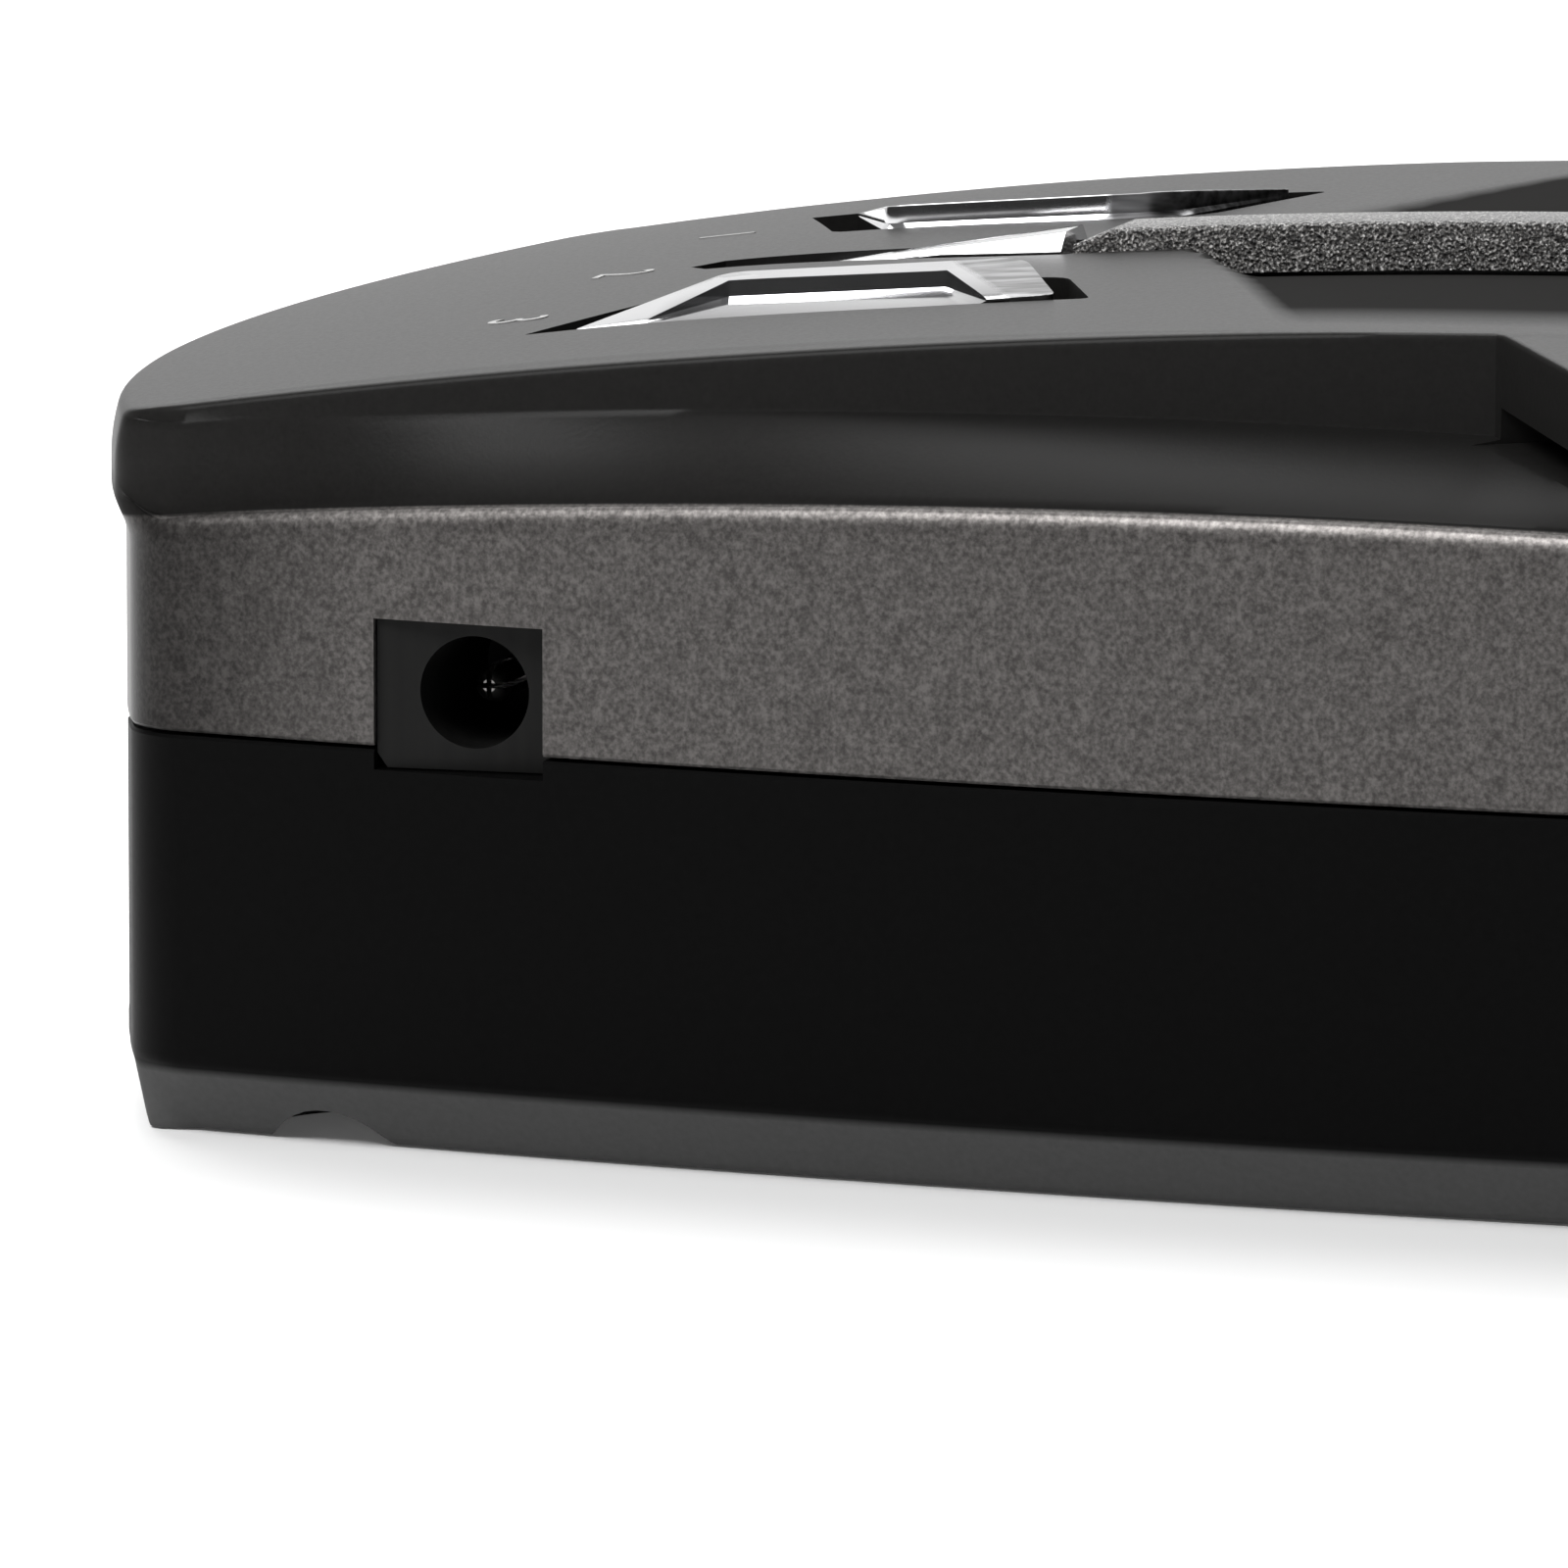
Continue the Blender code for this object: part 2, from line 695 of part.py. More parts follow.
def button_crown(points, crown, middle):
    """Blade over a plan outline: straight sides, then a bevelled top that follows the case's arch."""
    base = [(x, y, BUTTON_FOOT_Z) for x, y in points]
    rim = [(x, y, top_height(x, y) + BUTTON_PROUD * 0.45) for x, y in points]
    top = []
    for x, y in points:
        inner_x, inner_y = mix(x, middle[0], crown), mix(y, middle[1], crown * 0.6)
        top.append((inner_x, inner_y, top_height(inner_x, inner_y) + BUTTON_PROUD))
    return loft([base, rim, top])


def make_buttons():
    for name, points, middle in (
        ("right_button", leaf(), SIDE_SWITCH),
        ("left_button", mirrored(leaf()), (-SIDE_SWITCH[0], SIDE_SWITCH[1])),
        ("centre_button", spear(), CENTRE_SWITCH),
    ):
        button = finish_mesh(name, button_crown(points, 0.16, middle), CHROME)
        origin_to(button, (middle[0], middle[1], BUTTON_FOOT_Z))


def make_spine():
    finish_mesh("spine", spine_mesh(), SPARK_BLACK)


# Power inlet

def make_jack():
    y_low, y_high = JACK_Y
    z_low, z_high = JACK_Z
    back = JACK_FACE_X - JACK_DEPTH
    front = box((JACK_FACE_X - JACK_FLANGE, y_low, z_low), (JACK_FACE_X, y_high, z_high))
    jack = finish_mesh("dc_jack", front, BLACK_PLASTIC)
    join(jack, "jack_body", box((back, y_low + 1.1, z_low), (JACK_FACE_X - 1.0, y_high - 0.1, z_high - 0.1)))
    cut(jack, "jack_hole", rod(JACK_HOLE, JACK_HOLE_R, back + 1.2, JACK_FACE_X + 2.0, axis="X", sides=28))
    cut(jack, "jack_rear_hole", rod(JACK_HOLE, JACK_PIN_R + 0.2, back - 1.0, back + 2.0, axis="X", sides=16))
    spring_low, spring_high = back + 1.6, JACK_FACE_X - 1.6
    slot_y = JACK_HOLE[0] + JACK_HOLE_R
    slot = box((spring_low - 0.3, slot_y - 0.9, 15.2), (spring_high + 0.3, slot_y + 0.9, 16.4))
    cut(jack, "jack_spring_slot", slot)
    spring = box((spring_low, slot_y + 0.05, 15.45), (spring_high, slot_y + 0.35, 16.15))
    finish_mesh("dc_jack_spring", spring, STEEL)
    contact = rod(JACK_HOLE, JACK_PIN_R, back - 0.6, JACK_FACE_X - 1.2, axis="X", sides=16)
    pin = finish_mesh("dc_jack_pin", contact, STEEL)
    bevelled(pin, 0.25)


# Thumbwheel and its potentiometer

def wheel_ring(radius, height):
    """Knurled rim: every other point of the ring is a groove."""
    points = []
    for step in range(WHEEL_TEETH * 2):
        angle = math.pi * step / WHEEL_TEETH
        reach = radius - (0.35 if step % 2 else 0.0)
        points.append((reach * math.cos(angle), reach * math.sin(angle), height))
    return points


def make_wheel():
    low, high = WHEEL_Z
    rings = [
        wheel_ring(WHEEL_R - 0.5, low),
        wheel_ring(WHEEL_R, low + 0.4),
        wheel_ring(WHEEL_R, high - 0.4),
        wheel_ring(WHEEL_R - 0.5, high),
    ]
    wheel = finish_mesh("volume_wheel", loft(rings), BLACK_PLASTIC)
    wheel.location = Vector((WHEEL_X, WHEEL_Y, 0.0)) * MM
    bore = rod((0.0, 0.0), 1.55, low - 1.0, high + 1.0, sides=24)
    hub = finish_mesh("wheel_hub_hole", bore, None, cutter=True)
    hub.location = wheel.location
    boolean(wheel, hub)
    place = (WHEEL_X, WHEEL_Y)
    base_low = (WHEEL_X - 2.4, WHEEL_Y - 4.0, BOARD_Z[1] + 0.1)
    base = box(base_low, (WHEEL_X + 5.6, WHEEL_Y + 4.0, WHEEL_Z[0] - 0.4))
    pot = finish_mesh("volume_pot", base, BLACK_PLASTIC)
    join(pot, "pot_shaft", rod(place, 1.5, BOARD_Z[1] + 0.6, WHEEL_Z[1] + 0.3))


# Boards and what is on them

def make_boards():
    board_outline = [(x, y) for x, y, _ in inset_ring(OUTLINE, WALL + 1.3, 0.0) if -43.5 < y]
    board = finish_mesh("main_board", prism(board_outline, *BOARD_Z), BOARD_GREEN)
    for number, (x, y) in enumerate(screw_places()):
        cut(board, f"board_hole_{number}", rod((x, y), POST_R + GAP, 10.0, 14.0))
    low, high = BUTTON_BOARD_Z
    buttons = finish_mesh("button_board", box((-19.0, -36.0, low), (19.0, -16.5, high)), BOARD_GREEN)
    for x in (-16.0, 16.0):
        cut(buttons, f"rivet_hole_{x:.0f}", rod((x, -18.5), 0.7, low - 1.0, high + 1.0, sides=12))
    finish_mesh("display_board", box((-18.0, -46.2, 3.2), (18.0, -45.0, 12.6)), BOARD_GREEN)
    digits = finish_mesh("digit_display", box((-16.0, -49.6, 4.4), (16.0, -46.5, 11.6)), RED_DIGITS)
    bevelled(digits, 0.3)
    pins = box((-8.0, -44.7, 9.0), (8.0, -42.2, 11.0))
    finish_mesh("board_connector", pins, BLACK_PLASTIC)


def make_switches():
    low = BUTTON_BOARD_Z[1] + 0.1
    places = {
        "right_switch": SIDE_SWITCH,
        "left_switch": (-SIDE_SWITCH[0], SIDE_SWITCH[1]),
        "centre_switch": CENTRE_SWITCH,
    }
    for name, (x, y) in places.items():
        switch = finish_mesh(name, box((x - 3.0, y - 3.0, low), (x + 3.0, y + 3.0, low + 2.4)), BLACK_PLASTIC)
        join(switch, f"{name}_plunger", rod((x, y), 1.7, low + 1.8, BUTTON_FOOT_Z - 0.6, sides=20))


def make_board_parts():
    top = BOARD_Z[1] + 0.1
    chip = finish_mesh("processor", box((-7.0, -16.0, top), (7.0, -2.0, top + 1.5)), BLACK_PLASTIC)
    bevelled(chip, 0.2, 1)
    finish_mesh("regulator", box((16.0, -30.0, top), (22.5, -24.0, top + 2.3)), BLACK_PLASTIC)
    for number, (x, y) in enumerate(((24.0, -16.0), (24.0, -8.0)), start=1):
        can = [(0.0, top + 8.0), (2.6, top + 8.0), (3.0, top + 7.6), (3.0, top + 1.2)]
        can += [(2.7, top + 0.9), (3.0, top + 0.6), (3.0, top), (0.0, top)]
        turned(f"capacitor_{number}", can, ALUMINIUM, (x, y, 0.0))


# Receiver, laser sensor and loudspeaker

def horn_ring(y, half, low, high):
    return [(-half, y, low), (half, y, low), (half, y, high), (-half, y, high)]


def make_receiver():
    low = BOARD_Z[1] + 0.2
    wall = 1.0
    outer = [horn_ring(18.0, 6.5, low, low + 6.0), horn_ring(26.0, 6.5, low, low + 6.0)]
    outer.append(horn_ring(46.0, 16.0, low, low + 8.6))
    horn = finish_mesh("horn_antenna", loft(outer), CAST)
    inner = [horn_ring(20.0, 5.5, low + wall, low + 5.0), horn_ring(26.0, 5.5, low + wall, low + 5.0)]
    inner.append(horn_ring(48.0, 15.9, low + wall, low + 7.9))
    cut(horn, "horn_bore", loft(inner))
    can = finish_mesh("microwave_module", box((-12.0, 3.0, low), (12.0, 17.6, low + 7.0)), STEEL)
    bevelled(can, 0.6)


def make_laser_sensor():
    lens_y, lens_z, lens_x = 49.3, 8.0, -12.0
    dome = [(0.0, 2.2), (1.2, 2.05), (2.3, 1.6), (3.0, 0.9), (3.2, 0.0), (3.2, -0.8), (0.0, -0.8)]
    turned("laser_lens", dome, CLEAR, (lens_x, lens_y, lens_z), axis="Y")
    block = box((lens_x - 4.6, lens_y - 3.0, FLOOR_TOP + 0.2), (lens_x + 4.6, lens_y - 1.0, 10.9))
    holder = finish_mesh("lens_holder", block, BLACK_PLASTIC)
    cut(holder, "lens_view", rod((lens_x, lens_z), 2.6, lens_y - 5.0, lens_y + 1.0, axis="Y"))
    chip = box((lens_x - 2.5, 42.0, 5.6), (lens_x + 2.5, 44.0, 10.0))
    cell = finish_mesh("photodiode", chip, BLACK_PLASTIC)
    join(cell, "diode_leads", box((lens_x - 1.8, 42.7, 9.0), (lens_x + 1.8, 43.3, BOARD_Z[0] - 0.1)))


def make_speaker():
    place = (0.0, SPEAKER_Y, FLOOR_TOP + 0.2)
    frame = [(5.2, 4.2), (9.0, 3.6), (11.5, 1.4), (SPEAKER_R, 1.2), (SPEAKER_R, 0.0), (12.4, 0.0)]
    frame += [(12.2, 0.6), (11.0, 0.8), (8.6, 3.0), (5.2, 3.4)]
    turned("speaker_frame", frame, STEEL, place)
    cone = [(0.0, 2.4), (3.0, 2.9), (4.6, 3.0), (8.0, 2.4), (10.6, 0.5), (11.9, 0.3)]
    cone += [(11.9, 0.0), (10.4, 0.1), (7.8, 2.0), (4.6, 2.6), (3.0, 2.5), (0.0, 2.0)]
    turned("speaker_cone", cone, PAPER, place)
    magnet = [(0.0, 8.6), (7.6, 8.6), (8.0, 8.2), (8.0, 4.9), (7.6, 4.5), (0.0, 4.5)]
    turned("speaker_magnet", magnet, CAST, place)


def make_screws():
    for number, (x, y) in enumerate(screw_places(), start=1):
        head = WELL_DEPTH - 0.2
        profile = [(0.0, 16.5), (0.7, 16.5), (SHANK_R, 15.6), (SHANK_R, head), (2.6, head)]
        profile += [(2.7, head - 0.9), (2.1, head - 1.6), (0.0, head - 1.6)]
        turned(f"case_screw_{number}", profile, STEEL, (x, y, 0.0), sides=20)


make_upper_case()
make_lower_case()
make_windows()
make_buttons()
make_spine()
make_jack()
make_wheel()
make_boards()
make_switches()
make_board_parts()
make_receiver()
make_laser_sensor()
make_speaker()
make_screws()
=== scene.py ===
"""Looks of the dashboard radar detector: painted case, chrome buttons, power inlet and studio."""
import json
import math

import bmesh
import bpy
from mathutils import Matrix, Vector

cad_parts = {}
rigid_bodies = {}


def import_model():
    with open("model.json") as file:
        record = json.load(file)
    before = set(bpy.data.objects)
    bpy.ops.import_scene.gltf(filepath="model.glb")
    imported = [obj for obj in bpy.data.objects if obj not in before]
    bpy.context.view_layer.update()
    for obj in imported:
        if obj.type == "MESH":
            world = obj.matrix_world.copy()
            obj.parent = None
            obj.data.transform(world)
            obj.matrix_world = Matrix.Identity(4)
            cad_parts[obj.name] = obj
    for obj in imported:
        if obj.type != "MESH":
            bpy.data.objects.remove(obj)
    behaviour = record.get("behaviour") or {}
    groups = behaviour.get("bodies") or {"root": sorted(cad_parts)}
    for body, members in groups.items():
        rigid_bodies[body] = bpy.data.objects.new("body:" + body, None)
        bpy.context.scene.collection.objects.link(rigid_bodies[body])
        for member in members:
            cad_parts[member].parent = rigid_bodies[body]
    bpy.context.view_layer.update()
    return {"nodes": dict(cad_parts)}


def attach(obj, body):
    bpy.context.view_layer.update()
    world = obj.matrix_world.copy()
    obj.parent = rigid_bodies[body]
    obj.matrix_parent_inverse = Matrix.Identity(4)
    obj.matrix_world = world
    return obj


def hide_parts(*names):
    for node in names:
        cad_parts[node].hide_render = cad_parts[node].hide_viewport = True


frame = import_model()

# Sizes are in millimetres and become metres where meshes are made.
MM = 0.001

# Plan outline and heights of the case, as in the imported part
HALF_WIDTH = 34.9
WIDEST_Y = 18.2
SIDE_BOW = 0.001615
REAR_Y = -54.5
REAR_RADIUS = 69.0
REAR_CORNER = 3.2
FRONT_Y = 55.0
FRONT_RADIUS = 120.0
FRONT_CORNER = 9.0
WALL = 1.9
PART_Z = 13.83
SEAM = 0.07
BELOW_SEAM = 12.0
ABOVE_SEAM = 16.0
FLOOR_TOP = 1.8
FOOT_INSET = 2.0
FOOT_END_INSET = 0.6
FOOT_HEIGHT = 2.5
FOOT_BLEND = (0.35, 0.93)
ROOF = 1.9
BROW = 0.5
WING_START = -2.5
WING_END = 3.5
WING_LEDGE = 1.0
WING_FOOT = 0.8
SCOOP_X = (27.4, 33.6)
SCOOP_Z = ((25.1, 26.3), (23.9, 25.0))
SCOOP_DEPTHS = (-1.5, 3.5)
OUTSIDE_X = 36.0

# Arched heights along Y: height of the crest, fall per square millimetre, place of the crest
LIP_ARCH = (23.18, 0.00117, -6.5)
PAINT_ARCH = (23.16, 0.00117, -6.5)
SHOULDER_ARCH = (25.63, 0.0015, -17.0)
DECK_ARCH = (28.72, 0.00172, -0.48)

# Shoulder's width from the rear corner forwards, and how the deck bulges and rolls off sideways
SHELF_REAR_Y = -47.5
SHELF_START = 0.5
SHELF_GROWTH = 0.153
CROWN = 0.45
CROWN_LOSS = 0.3
CROWN_LOSS_Y = (-36.5, -22.5)
ROLL_X = 27.0
ROLL_SLOPE = 0.17

# Hollows beside the spine
DISH_APEX_Y = -18.8
DISH_ARM_Y = -10.6
DISH_END_Y = 38.0
DISH_START = 1.0
DISH_HALF = 23.0
DISH_DEPTH = 1.2
DISH_COVE = 10.0
DISH_STEP = 1.0

# Buttons and spine
PLATE = ((18.2, -36.2), (16.7, -19.7), (10.5, -22.4), (10.5, -33.0))
PLATE_ROUND = (0.2, 0.5, 1.3, 0.8)
PLATE_FLANGE = 0.5
PLATE_ROUND_STEPS = 10
OPENING_REAR = 1.4
OPENING_FRONT = 0.9
OPENING_OUTER = 0.6
OPENING_Z = (20.0, 32.0)
SPEAR_TIP_Y = -36.0
SPEAR_FRONT_Y = -23.4
SPEAR_HALF = 1.9
SPEAR_STEPS = 40
BUTTON_FOOT_Z = 22.5
BUTTON_GAP = 0.35
SPINE_NOSE_Y = -23.0
SPINE_END_Y = 46.0
SPINE_HALF = 1.7
SPINE_DRAFT = 0.35
SPINE_PROUD = 0.75
SPINE_DEEP = 0.9
SPINE_END_SHARE = 0.35
SPINE_GAP = 0.1
SPINE_STEPS = 60

# Power inlet, thumbwheel, screws and windows
JACK_Y = (-39.9, -33.8)
JACK_Z = (13.15, 18.15)
JACK_HOLE = (-36.5, 15.8)
JACK_HOLE_R = 1.9
JACK_FACE_X = 29.2
JACK_FLANGE = 2.4
JACK_DEPTH = 9.0
JACK_GAP = 0.06
JACK_SLOT_DEPTH = 3.0
JACK_PIN_DEPTH = 1.7
WHEEL_Y = -29.0
WHEEL_X = -25.4
WHEEL_R = 7.0
WHEEL_Z = (14.5, 17.3)
WHEEL_TEETH = 36
WHEEL_KNURL = 0.35
WHEEL_FACE_R = 5.6
WHEEL_BORE_R = 1.55
WHEEL_SLOT_HALF = 6.3
WHEEL_SLOT_GAP = 0.5
SCREWS = ((24.2, -41.6), (-24.2, -41.6), (25.0, 40.0), (-25.0, 40.0))
WELL_R = 3.7
WELL_DEPTH = 3.2
WINDOW_HALF = 23.5
WINDOW_Z = (3.4, 13.55)
WINDOW_THICK = 1.8
WINDOW_INSET = 0.65
WINDOW_GAP = 0.1
WINDOW_BEVEL = 0.2
WINDOW_STEPS = 48
FRONT_WINDOW_HALF = 20.0
FRONT_WINDOW_Z = (4.6, 11.4)
FRONT_WINDOW_THICK = 1.6
FRONT_WINDOW_INSET = 0.25
SPEAKER_Y = 8.0
SPEAKER_R = 13.5
GRILLE_SLOTS = 7
GRILLE_PITCH = 3.0
GRILLE_HALF = 0.6
GRILLE_MARGIN = 3.0

# Plain numbers printed behind the buttons
LABELS = (("1", -13.3), ("2", 0.0), ("3", 13.3))
LABEL_Y = -39.8
LABEL_SIZE = 3.0
LABEL_SKIN = (-0.05, 0.03)

# Camera: where the photograph was taken from
CAMERA_AZIMUTH = 105.55
CAMERA_ELEVATION = 8.239
CAMERA_DISTANCE = 600.0
CAMERA_TARGET = (33.0, -24.69, 13.69)
IMAGE_PIXELS = 1600
PIXELS_PER_MM = 30.8
SENSOR = 36.0

# Fineness of the meshes, and the angle from which an edge is drawn sharp
BOW_STEPS = 30
CORNER_STEPS = 16
SIDE_STEP = 0.8
WING_STEP = 0.25
DECK_LANES = 150
SHARP = 32.0
BUTTON_SHARP = 28.0
SPINE_SHARP = 40.0


def smooth(low, high, value):
    share = min(max((value - low) / (high - low), 0.0), 1.0)
    return share * share * (3.0 - 2.0 * share)


def mix(first, second, share):
    return first + (second - first) * share


def arched(curve, y):
    """Height on an arch along Y; y is a number or a shader socket."""
    crest, fall, place = curve
    return crest - fall * (y - place) ** 2.0


# Shader nodes written as expressions

class Sock:
    """A shader socket; arithmetic on it adds Math nodes."""

    def __init__(self, nodes, socket):
        self.nodes = nodes
        self.socket = socket

    def math(self, operation, first, second):
        return self.nodes.add("ShaderNodeMath", {"operation": operation}, {0: first, 1: second})

    def __add__(self, other):
        return self.math("ADD", self, other)

    def __radd__(self, other):
        return self.math("ADD", other, self)

    def __sub__(self, other):
        return self.math("SUBTRACT", self, other)

    def __rsub__(self, other):
        return self.math("SUBTRACT", other, self)

    def __mul__(self, other):
        return self.math("MULTIPLY", self, other)

    def __rmul__(self, other):
        return self.math("MULTIPLY", other, self)

    def __pow__(self, other):
        return self.math("POWER", self, other)


class Nodes:
    """One node tree and the methods that add to it."""

    def __init__(self, tree):
        self.tree = tree

    def put(self, socket, value):
        if isinstance(value, Sock):
            self.tree.links.new(value.socket, socket)
        else:
            socket.default_value = value

    def add(self, kind, settings=None, values=None, output=0):
        node = self.tree.nodes.new(kind)
        for key, value in (settings or {}).items():
            if key == "stops":
                ramp = node.color_ramp.elements
                while len(ramp) < len(value):
                    ramp.new(0.5)
                for stop, (place, colour) in zip(ramp, value):
                    stop.position = place
                    stop.color = (*colour, 1.0)
            else:
                setattr(node, key, value)
        for key, value in (values or {}).items():
            self.put(node.inputs[key], value)
        return None if output is None else Sock(self, node.outputs[output])

    def noise(self, scale, detail=2.0, roughness=0.5, stretch=None):
        place = self.add("ShaderNodeTexCoord", output="Object")
        if stretch:
            place = self.add("ShaderNodeMapping", values={"Vector": place, "Scale": stretch})
        values = {"Vector": place, "Scale": scale, "Detail": detail, "Roughness": roughness}
        return self.add("ShaderNodeTexNoise", values=values)

    def cells(self, scale):
        place = self.add("ShaderNodeTexCoord", output="Object")
        return self.add("ShaderNodeTexVoronoi", None, {"Vector": place, "Scale": scale})

    def place_mm(self, axis):
        """Object coordinate along one axis, in millimetres."""
        place = self.add("ShaderNodeTexCoord", output="Object")
        return self.add("ShaderNodeSeparateXYZ", values={0: place}, output=axis) * (1.0 / MM)

    def clamp(self, value):
        return self.add("ShaderNodeClamp", values={0: value})

    def ramp(self, factor, *stops):
        return self.add("ShaderNodeValToRGB", {"stops": stops}, {"Fac": factor})

    def absolute(self, value):
        return self.add("ShaderNodeMath", {"operation": "ABSOLUTE"}, {0: value})

    def dot(self, first, second):
        return self.add("ShaderNodeVectorMath", {"operation": "DOT_PRODUCT"}, {0: first, 1: second}, "Value")

    def dim(self, colour, share):
        return self.add("ShaderNodeVectorMath", {"operation": "SCALE"}, {0: colour, "Scale": share})

    def blend(self, factor, first, second):
        """Mix of two colours, each a socket or three plain values."""
        first, second = (end if isinstance(end, Sock) else (*end, 1.0) for end in (first, second))
        return self.add("ShaderNodeMix", {"data_type": "RGBA"}, {0: factor, 6: first, 7: second}, 2)

    def bump(self, height, depth, strength=1.0):
        return self.add("ShaderNodeBump", None, {"Height": height, "Distance": depth, "Strength": strength})


def paint(name, build, **constants):
    """A Principled material; build(nodes) returns what varies over it, with matt as a share of no shine."""
    made = bpy.data.materials.new(name)
    made.use_nodes = True
    tree = made.node_tree
    shader = tree.nodes["Principled BSDF"]
    for key, value in constants.items():
        shader.inputs[key.replace("_", " ")].default_value = value
    nodes = Nodes(tree)
    varying = build(nodes)
    matt = varying.pop("matt", None)
    for key, value in varying.items():
        nodes.put(shader.inputs[key], value)
    if matt:
        values = {"Base Color": varying["Base Color"], "Roughness": 1.0, "Specular IOR Level": 0.0}
        # Shineless copy mixed in by matt; the grey paint uses it for painted shade.
        painted_shade = nodes.add("ShaderNodeBsdfPrincipled", None, values)
        both = nodes.add("ShaderNodeMixShader", None, {0: matt, 1: Sock(nodes, shader.outputs[0]), 2: painted_shade})
        nodes.put(tree.nodes["Material Output"].inputs["Surface"], both)
    return made


# Where the grey paint has painted shade: the hollows and the rear corners, but not the rear wall between
# them
HOLLOW_SHADE_HALF = 25.0
HOLLOW_SHADE_Z = 25.0
HOLLOW_SHADE_SLANT = 0.373
CORNER_SHADE_Y = -49.5
REAR_WALL_HALF = 27.0


def grey_metal_paint(nodes):
    """Metallic flank below the lip, satin above; painted shade: matt in the hollows and low on the shoulder,
    darker rear corners; painted highlight under the lip.
    """
    flakes = nodes.noise(5200.0, 2.0, 0.6)
    blotch = nodes.noise(1800.0)
    x, y, z = (nodes.place_mm(axis) for axis in "XYZ")
    reach = nodes.absolute(x)
    lip = arched(PAINT_ARCH, y)
    flank = nodes.clamp((lip - z) * 8.0 + 0.5)
    step = y - DISH_APEX_Y - HOLLOW_SHADE_SLANT * (reach - DISH_START)
    # Painted shade: the hollows and the low shoulder are made matt, so they lose their shine and read dark.
    hollow = nodes.clamp((HOLLOW_SHADE_HALF - reach) * 0.2) * nodes.clamp(step) * nodes.clamp(z - HOLLOW_SHADE_Z)
    painted_shade_shoulder = nodes.clamp(1.15 - (z - lip) * 0.65) * (1.0 - flank)
    share = flakes * 0.75 + blotch * 0.25
    stops = (0.35, (0.05, 0.047, 0.0455)), (0.5, (0.085, 0.08, 0.0775)), (0.65, (0.13, 0.123, 0.119))
    metal = nodes.ramp(share, *stops)
    # Painted shade: the metal darkens towards the rear corners, but not on the rear wall between them.
    ahead, between = nodes.clamp((y - CORNER_SHADE_Y) * 0.11), nodes.clamp((REAR_WALL_HALF - reach) * 0.2)
    corner = nodes.clamp(ahead + between) * 0.8 + 0.2
    # Painted highlight: the metal is brightened along the top of the flank, just under the lip.
    edge = nodes.clamp(1.0 - (lip - z) * 1.3)
    metal = nodes.dim(metal, corner * (1.0 + edge * 1.1))
    satin = nodes.blend(share, (0.0075, 0.0073, 0.007), (0.015, 0.0145, 0.014))
    return {
        "Base Color": nodes.blend(flank, satin, metal),
        "Metallic": flank * 0.6,
        "Roughness": 0.33 + flakes * 0.1 - flank * 0.02,
        "Normal": nodes.bump(flakes, 0.00002, 0.3),
        "matt": nodes.clamp(hollow * 0.9 + painted_shade_shoulder * 0.75),
    }


def black_case_plastic(nodes):
    """Near-black wall; the chamfer round the bottom is a little lighter, a painted sheen."""
    grain = nodes.noise(3800.0)
    haze = nodes.noise(90.0)
    foot = nodes.clamp((FOOT_HEIGHT - 0.1 - nodes.place_mm("Z")) * 3.0)
    wall = nodes.blend(grain, (0.002, 0.002, 0.002), (0.0038, 0.0038, 0.0038))
    # Painted sheen: the chamfer round the bottom is a lighter grey than the wall.
    painted_sheen = nodes.blend(grain, (0.07, 0.07, 0.07), (0.092, 0.092, 0.092))
    return {
        "Base Color": nodes.blend(foot, wall, painted_sheen),
        "Roughness": 0.36 + haze * 0.1 + grain * 0.06,
        "Normal": nodes.bump(grain, 0.00001, 0.35),
    }


def spark_texture(nodes):
    pits = nodes.cells(7000.0)
    fine = nodes.noise(9000.0)
    stops = (0.43, (0.014, 0.013, 0.013)), (0.57, (0.12, 0.115, 0.11)), (0.67, (0.5, 0.49, 0.48))
    return {
        "Base Color": nodes.ramp(fine, *stops),
        "Roughness": 0.24 + fine * 0.2,
        "Normal": nodes.bump(pits + fine * 0.5, 0.00012, 1.0),
    }


# Where the chrome changes: the paddle's slanting edge, the outer buttons and the painted shade at the open
# end of their troughs
PADDLE_EDGE = (11.7, -24.4)
PADDLE_SLANT = 0.56
OUTER_BUTTONS_X = 5.0
TROUGH_SHADE_FROM = (13.0, -34.0)


def bright_chrome(nodes):
    """Bright plating with painted shade towards the open side of the troughs, and brushed paddles at the
    front.
    """
    haze = nodes.noise(420.0, 3.0)
    drag = nodes.noise(900.0, 2.0, 0.5, (1.0, 0.12, 1.0))
    streaks = nodes.noise(2200.0, 2.0, 0.6, (1.0, 0.15, 1.0))
    reach, y = nodes.absolute(nodes.place_mm("X")), nodes.place_mm("Y")
    front = y - PADDLE_EDGE[1] - PADDLE_SLANT * (reach - PADDLE_EDGE[0])
    brushed = nodes.clamp(front * 3.0) * nodes.clamp(reach - OUTER_BUTTONS_X)
    # Painted shade: the plating darkens towards the open side of the troughs.
    painted_shade = nodes.clamp((reach - TROUGH_SHADE_FROM[0]) * 0.22) * nodes.clamp(y - TROUGH_SHADE_FROM[1])
    bright = nodes.blend(haze, (0.6, 0.6, 0.61), (0.72, 0.72, 0.73))
    plating = nodes.dim(bright, 1.0 - painted_shade * 0.75)
    worn = nodes.ramp(streaks, (0.35, (0.06, 0.06, 0.06)), (0.65, (0.26, 0.26, 0.265)))
    return {
        "Base Color": nodes.blend(brushed, plating, worn),
        "Roughness": 0.05 + drag * 0.09 + brushed * 0.22,
    }


